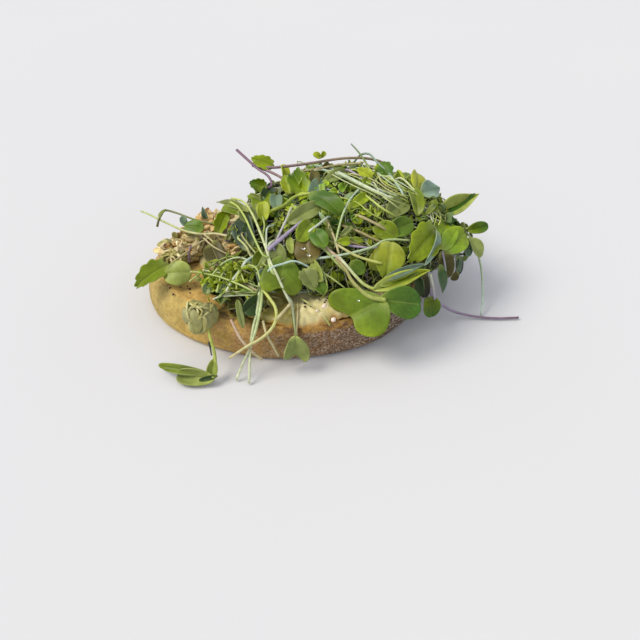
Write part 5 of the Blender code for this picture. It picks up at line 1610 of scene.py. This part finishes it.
# Cracked pepper: middle of each scatter, half its width and how many grains
PEPPER_SPOTS = (
    (-58.0, -22.0, 20.6, 5.0, 6), (-2.0, -49.0, 26.0, 5.0, 4), (8.0, -49.0, 26.6, 9.0, 7),
    (-24.0, -48.0, 25.0, 10.0, 10), (0.0, 45.0, 24.5, 25.0, 12),
)
# Salt flakes: middle and radii
FLAKE_SPOTS = (
    ((7, -52, 26.2), (1.9, 1.4, 0.9)), ((10, -58, 22.6), (1.6, 1.3, 1.0)), ((3, -54, 25.6), (0.9, 0.7, 0.5)),
)
# Drops of water on the leaves: middle and radius
DROP_SPOTS = (
    ((44.5, -26, 48), 0.9), ((-46, 8, 37.6), 0.7), ((7, -36, 48), 0.8), ((0, -34, 47), 0.9),
    ((2, -37, 45), 0.8), ((21, -58, 32.5), 0.6),
)
DROP_HEIGHT = 0.7                   # as a share of its radius


def small_things():
    """Cracked pepper and salt flakes on the cheese and the bare bread, and water on the leaves."""
    draw = np.random.RandomState(4)
    pepper = Bunch("cracked_pepper", (PEPPER,))
    for x, y, z, spread, count in PEPPER_SPOTS:
        for _ in range(count):
            place = (x + draw.uniform(-spread, spread), y + draw.uniform(-3.0, 3.0), z)
            pepper.ball(GRAIN_BALL, place, draw.uniform(0.3, 0.75, 3), draw.uniform(0.0, 6.0))
    pepper.finish("crust")
    flakes = Bunch("salt_flakes", (FLAKES,))
    for place, radii in FLAKE_SPOTS:
        flakes.ball(GRAIN_BALL, place, radii, 0.6)
    flakes.finish("cheese")
    drops = Bunch("water_drops", (WATER,))
    for place, radius in DROP_SPOTS:
        drops.ball(SMALL_BALL, place, (radius, radius, DROP_HEIGHT * radius))
    drops.finish("leaf")


# ---------------------------------------------------------------- studio

CAMERA_PLACE = (-45.0, -275.2, 210.4)           # mm
CAMERA_SWING = 12.64                            # degrees from +Y towards +X
CAMERA_DIP = 40.05                              # degrees below level
CAMERA_ROLL = 2.03                              # degrees
CAMERA_LENS = 36.0                              # mm, on a sensor as wide
SKY_COLOUR, SKY_STRENGTH = "#F2F5FF", 0.92
KEY_COLOUR, KEY_STRENGTH = "#FFF8EC", 2.65
KEY_FROM = (-0.66, 0.06, 0.75)                  # where the light comes from: upper left
KEY_SPREAD = 32.0                               # degrees, for its soft shadows
FLOOR_HALF = 3.0                                # m


def put_floor(scene):
    """A wide floor of a pale grey."""
    bm = bmesh.new()
    bmesh.ops.create_grid(bm, x_segments=1, y_segments=1, size=FLOOR_HALF)
    bm.normal_update()
    mesh = bpy.data.meshes.new("floor")
    bm.to_mesh(mesh)
    bm.free()
    floor = bpy.data.objects.new("floor", mesh)
    scene.collection.objects.link(floor)
    material, tree, shader = new_material("pale_studio_floor")
    tree.links.new(spots(tree, 400.0, 0.3, 0.7, "#C8C8C8", "#C6C6C7"), shader.inputs["Base Color"])
    shader.inputs["Roughness"].default_value = 0.9
    shader.inputs["Specular IOR Level"].default_value = 0.1
    mesh.materials.append(material)


def put_lights(scene):
    """An even sky and one soft light."""
    world = bpy.data.worlds.new("studio_air")
    world.use_nodes = True
    sky = world.node_tree.nodes["Background"]
    sky.inputs["Color"].default_value = linear(SKY_COLOUR)
    sky.inputs["Strength"].default_value = SKY_STRENGTH
    scene.world = world
    key = bpy.data.lights.new("soft_key", "SUN")
    key.energy = KEY_STRENGTH
    key.angle = math.radians(KEY_SPREAD)
    key.color = linear(KEY_COLOUR)[:3]
    lamp = bpy.data.objects.new("soft_key", key)
    lamp.rotation_euler = Vector(KEY_FROM).to_track_quat("Z", "Y").to_euler()
    scene.collection.objects.link(lamp)


def put_camera(scene):
    """The camera in front, a little to the left, looking down at the sandwich."""
    lens = bpy.data.cameras.new("camera")
    lens.lens = CAMERA_LENS
    lens.sensor_width = CAMERA_LENS
    lens.clip_start = 0.01
    camera = bpy.data.objects.new("camera", lens)
    swing = Matrix.Rotation(math.radians(-CAMERA_SWING), 4, "Z")
    dip = Matrix.Rotation(math.radians(90.0 - CAMERA_DIP), 4, "X")
    roll = Matrix.Rotation(math.radians(CAMERA_ROLL), 4, "Z")
    camera.matrix_world = Matrix.Translation(Vector(CAMERA_PLACE) * MM) @ swing @ dip @ roll
    scene.collection.objects.link(camera)
    scene.camera = camera


def studio():
    """Floor, lights and camera."""
    scene = bpy.context.scene
    scene.view_settings.view_transform = "Standard"
    put_floor(scene)
    put_lights(scene)
    put_camera(scene)


# ---------------------------------------------------------------- the sandwich

# What shows on the heap: name, slot and what places it
HEAP_KINDS = (
    ("heap_shown_leaves", "leaf", heap_leaves), ("heap_fronds", "leaf", frilled_fronds),
    ("heap_shown_stems", "pale_stem", heap_stems),
)


def greens():
    """All of the heap's leaves and stems, one piece for each kind."""
    heap_core()
    loose_sprigs()
    for name, slot, place_all in HEAP_KINDS:
        shown = Bunch(name)
        place_all(shown)
        shown.finish(slot)
    leaves, small_leaves = Bunch("heap_loose_leaves"), Bunch("heap_frilled_leaves")
    stems = Bunch("heap_loose_stems")
    fill_heap(leaves, stems)
    cover_heap(small_leaves, stems)
    small_leaves.finish("greens")
    leaves.finish("greens")
    stems.finish("pale_stem")


def build():
    """Make every piece."""
    studio()
    bake_bread()
    spread_cheese()
    artichokes()
    greens()
    small_things()


build()
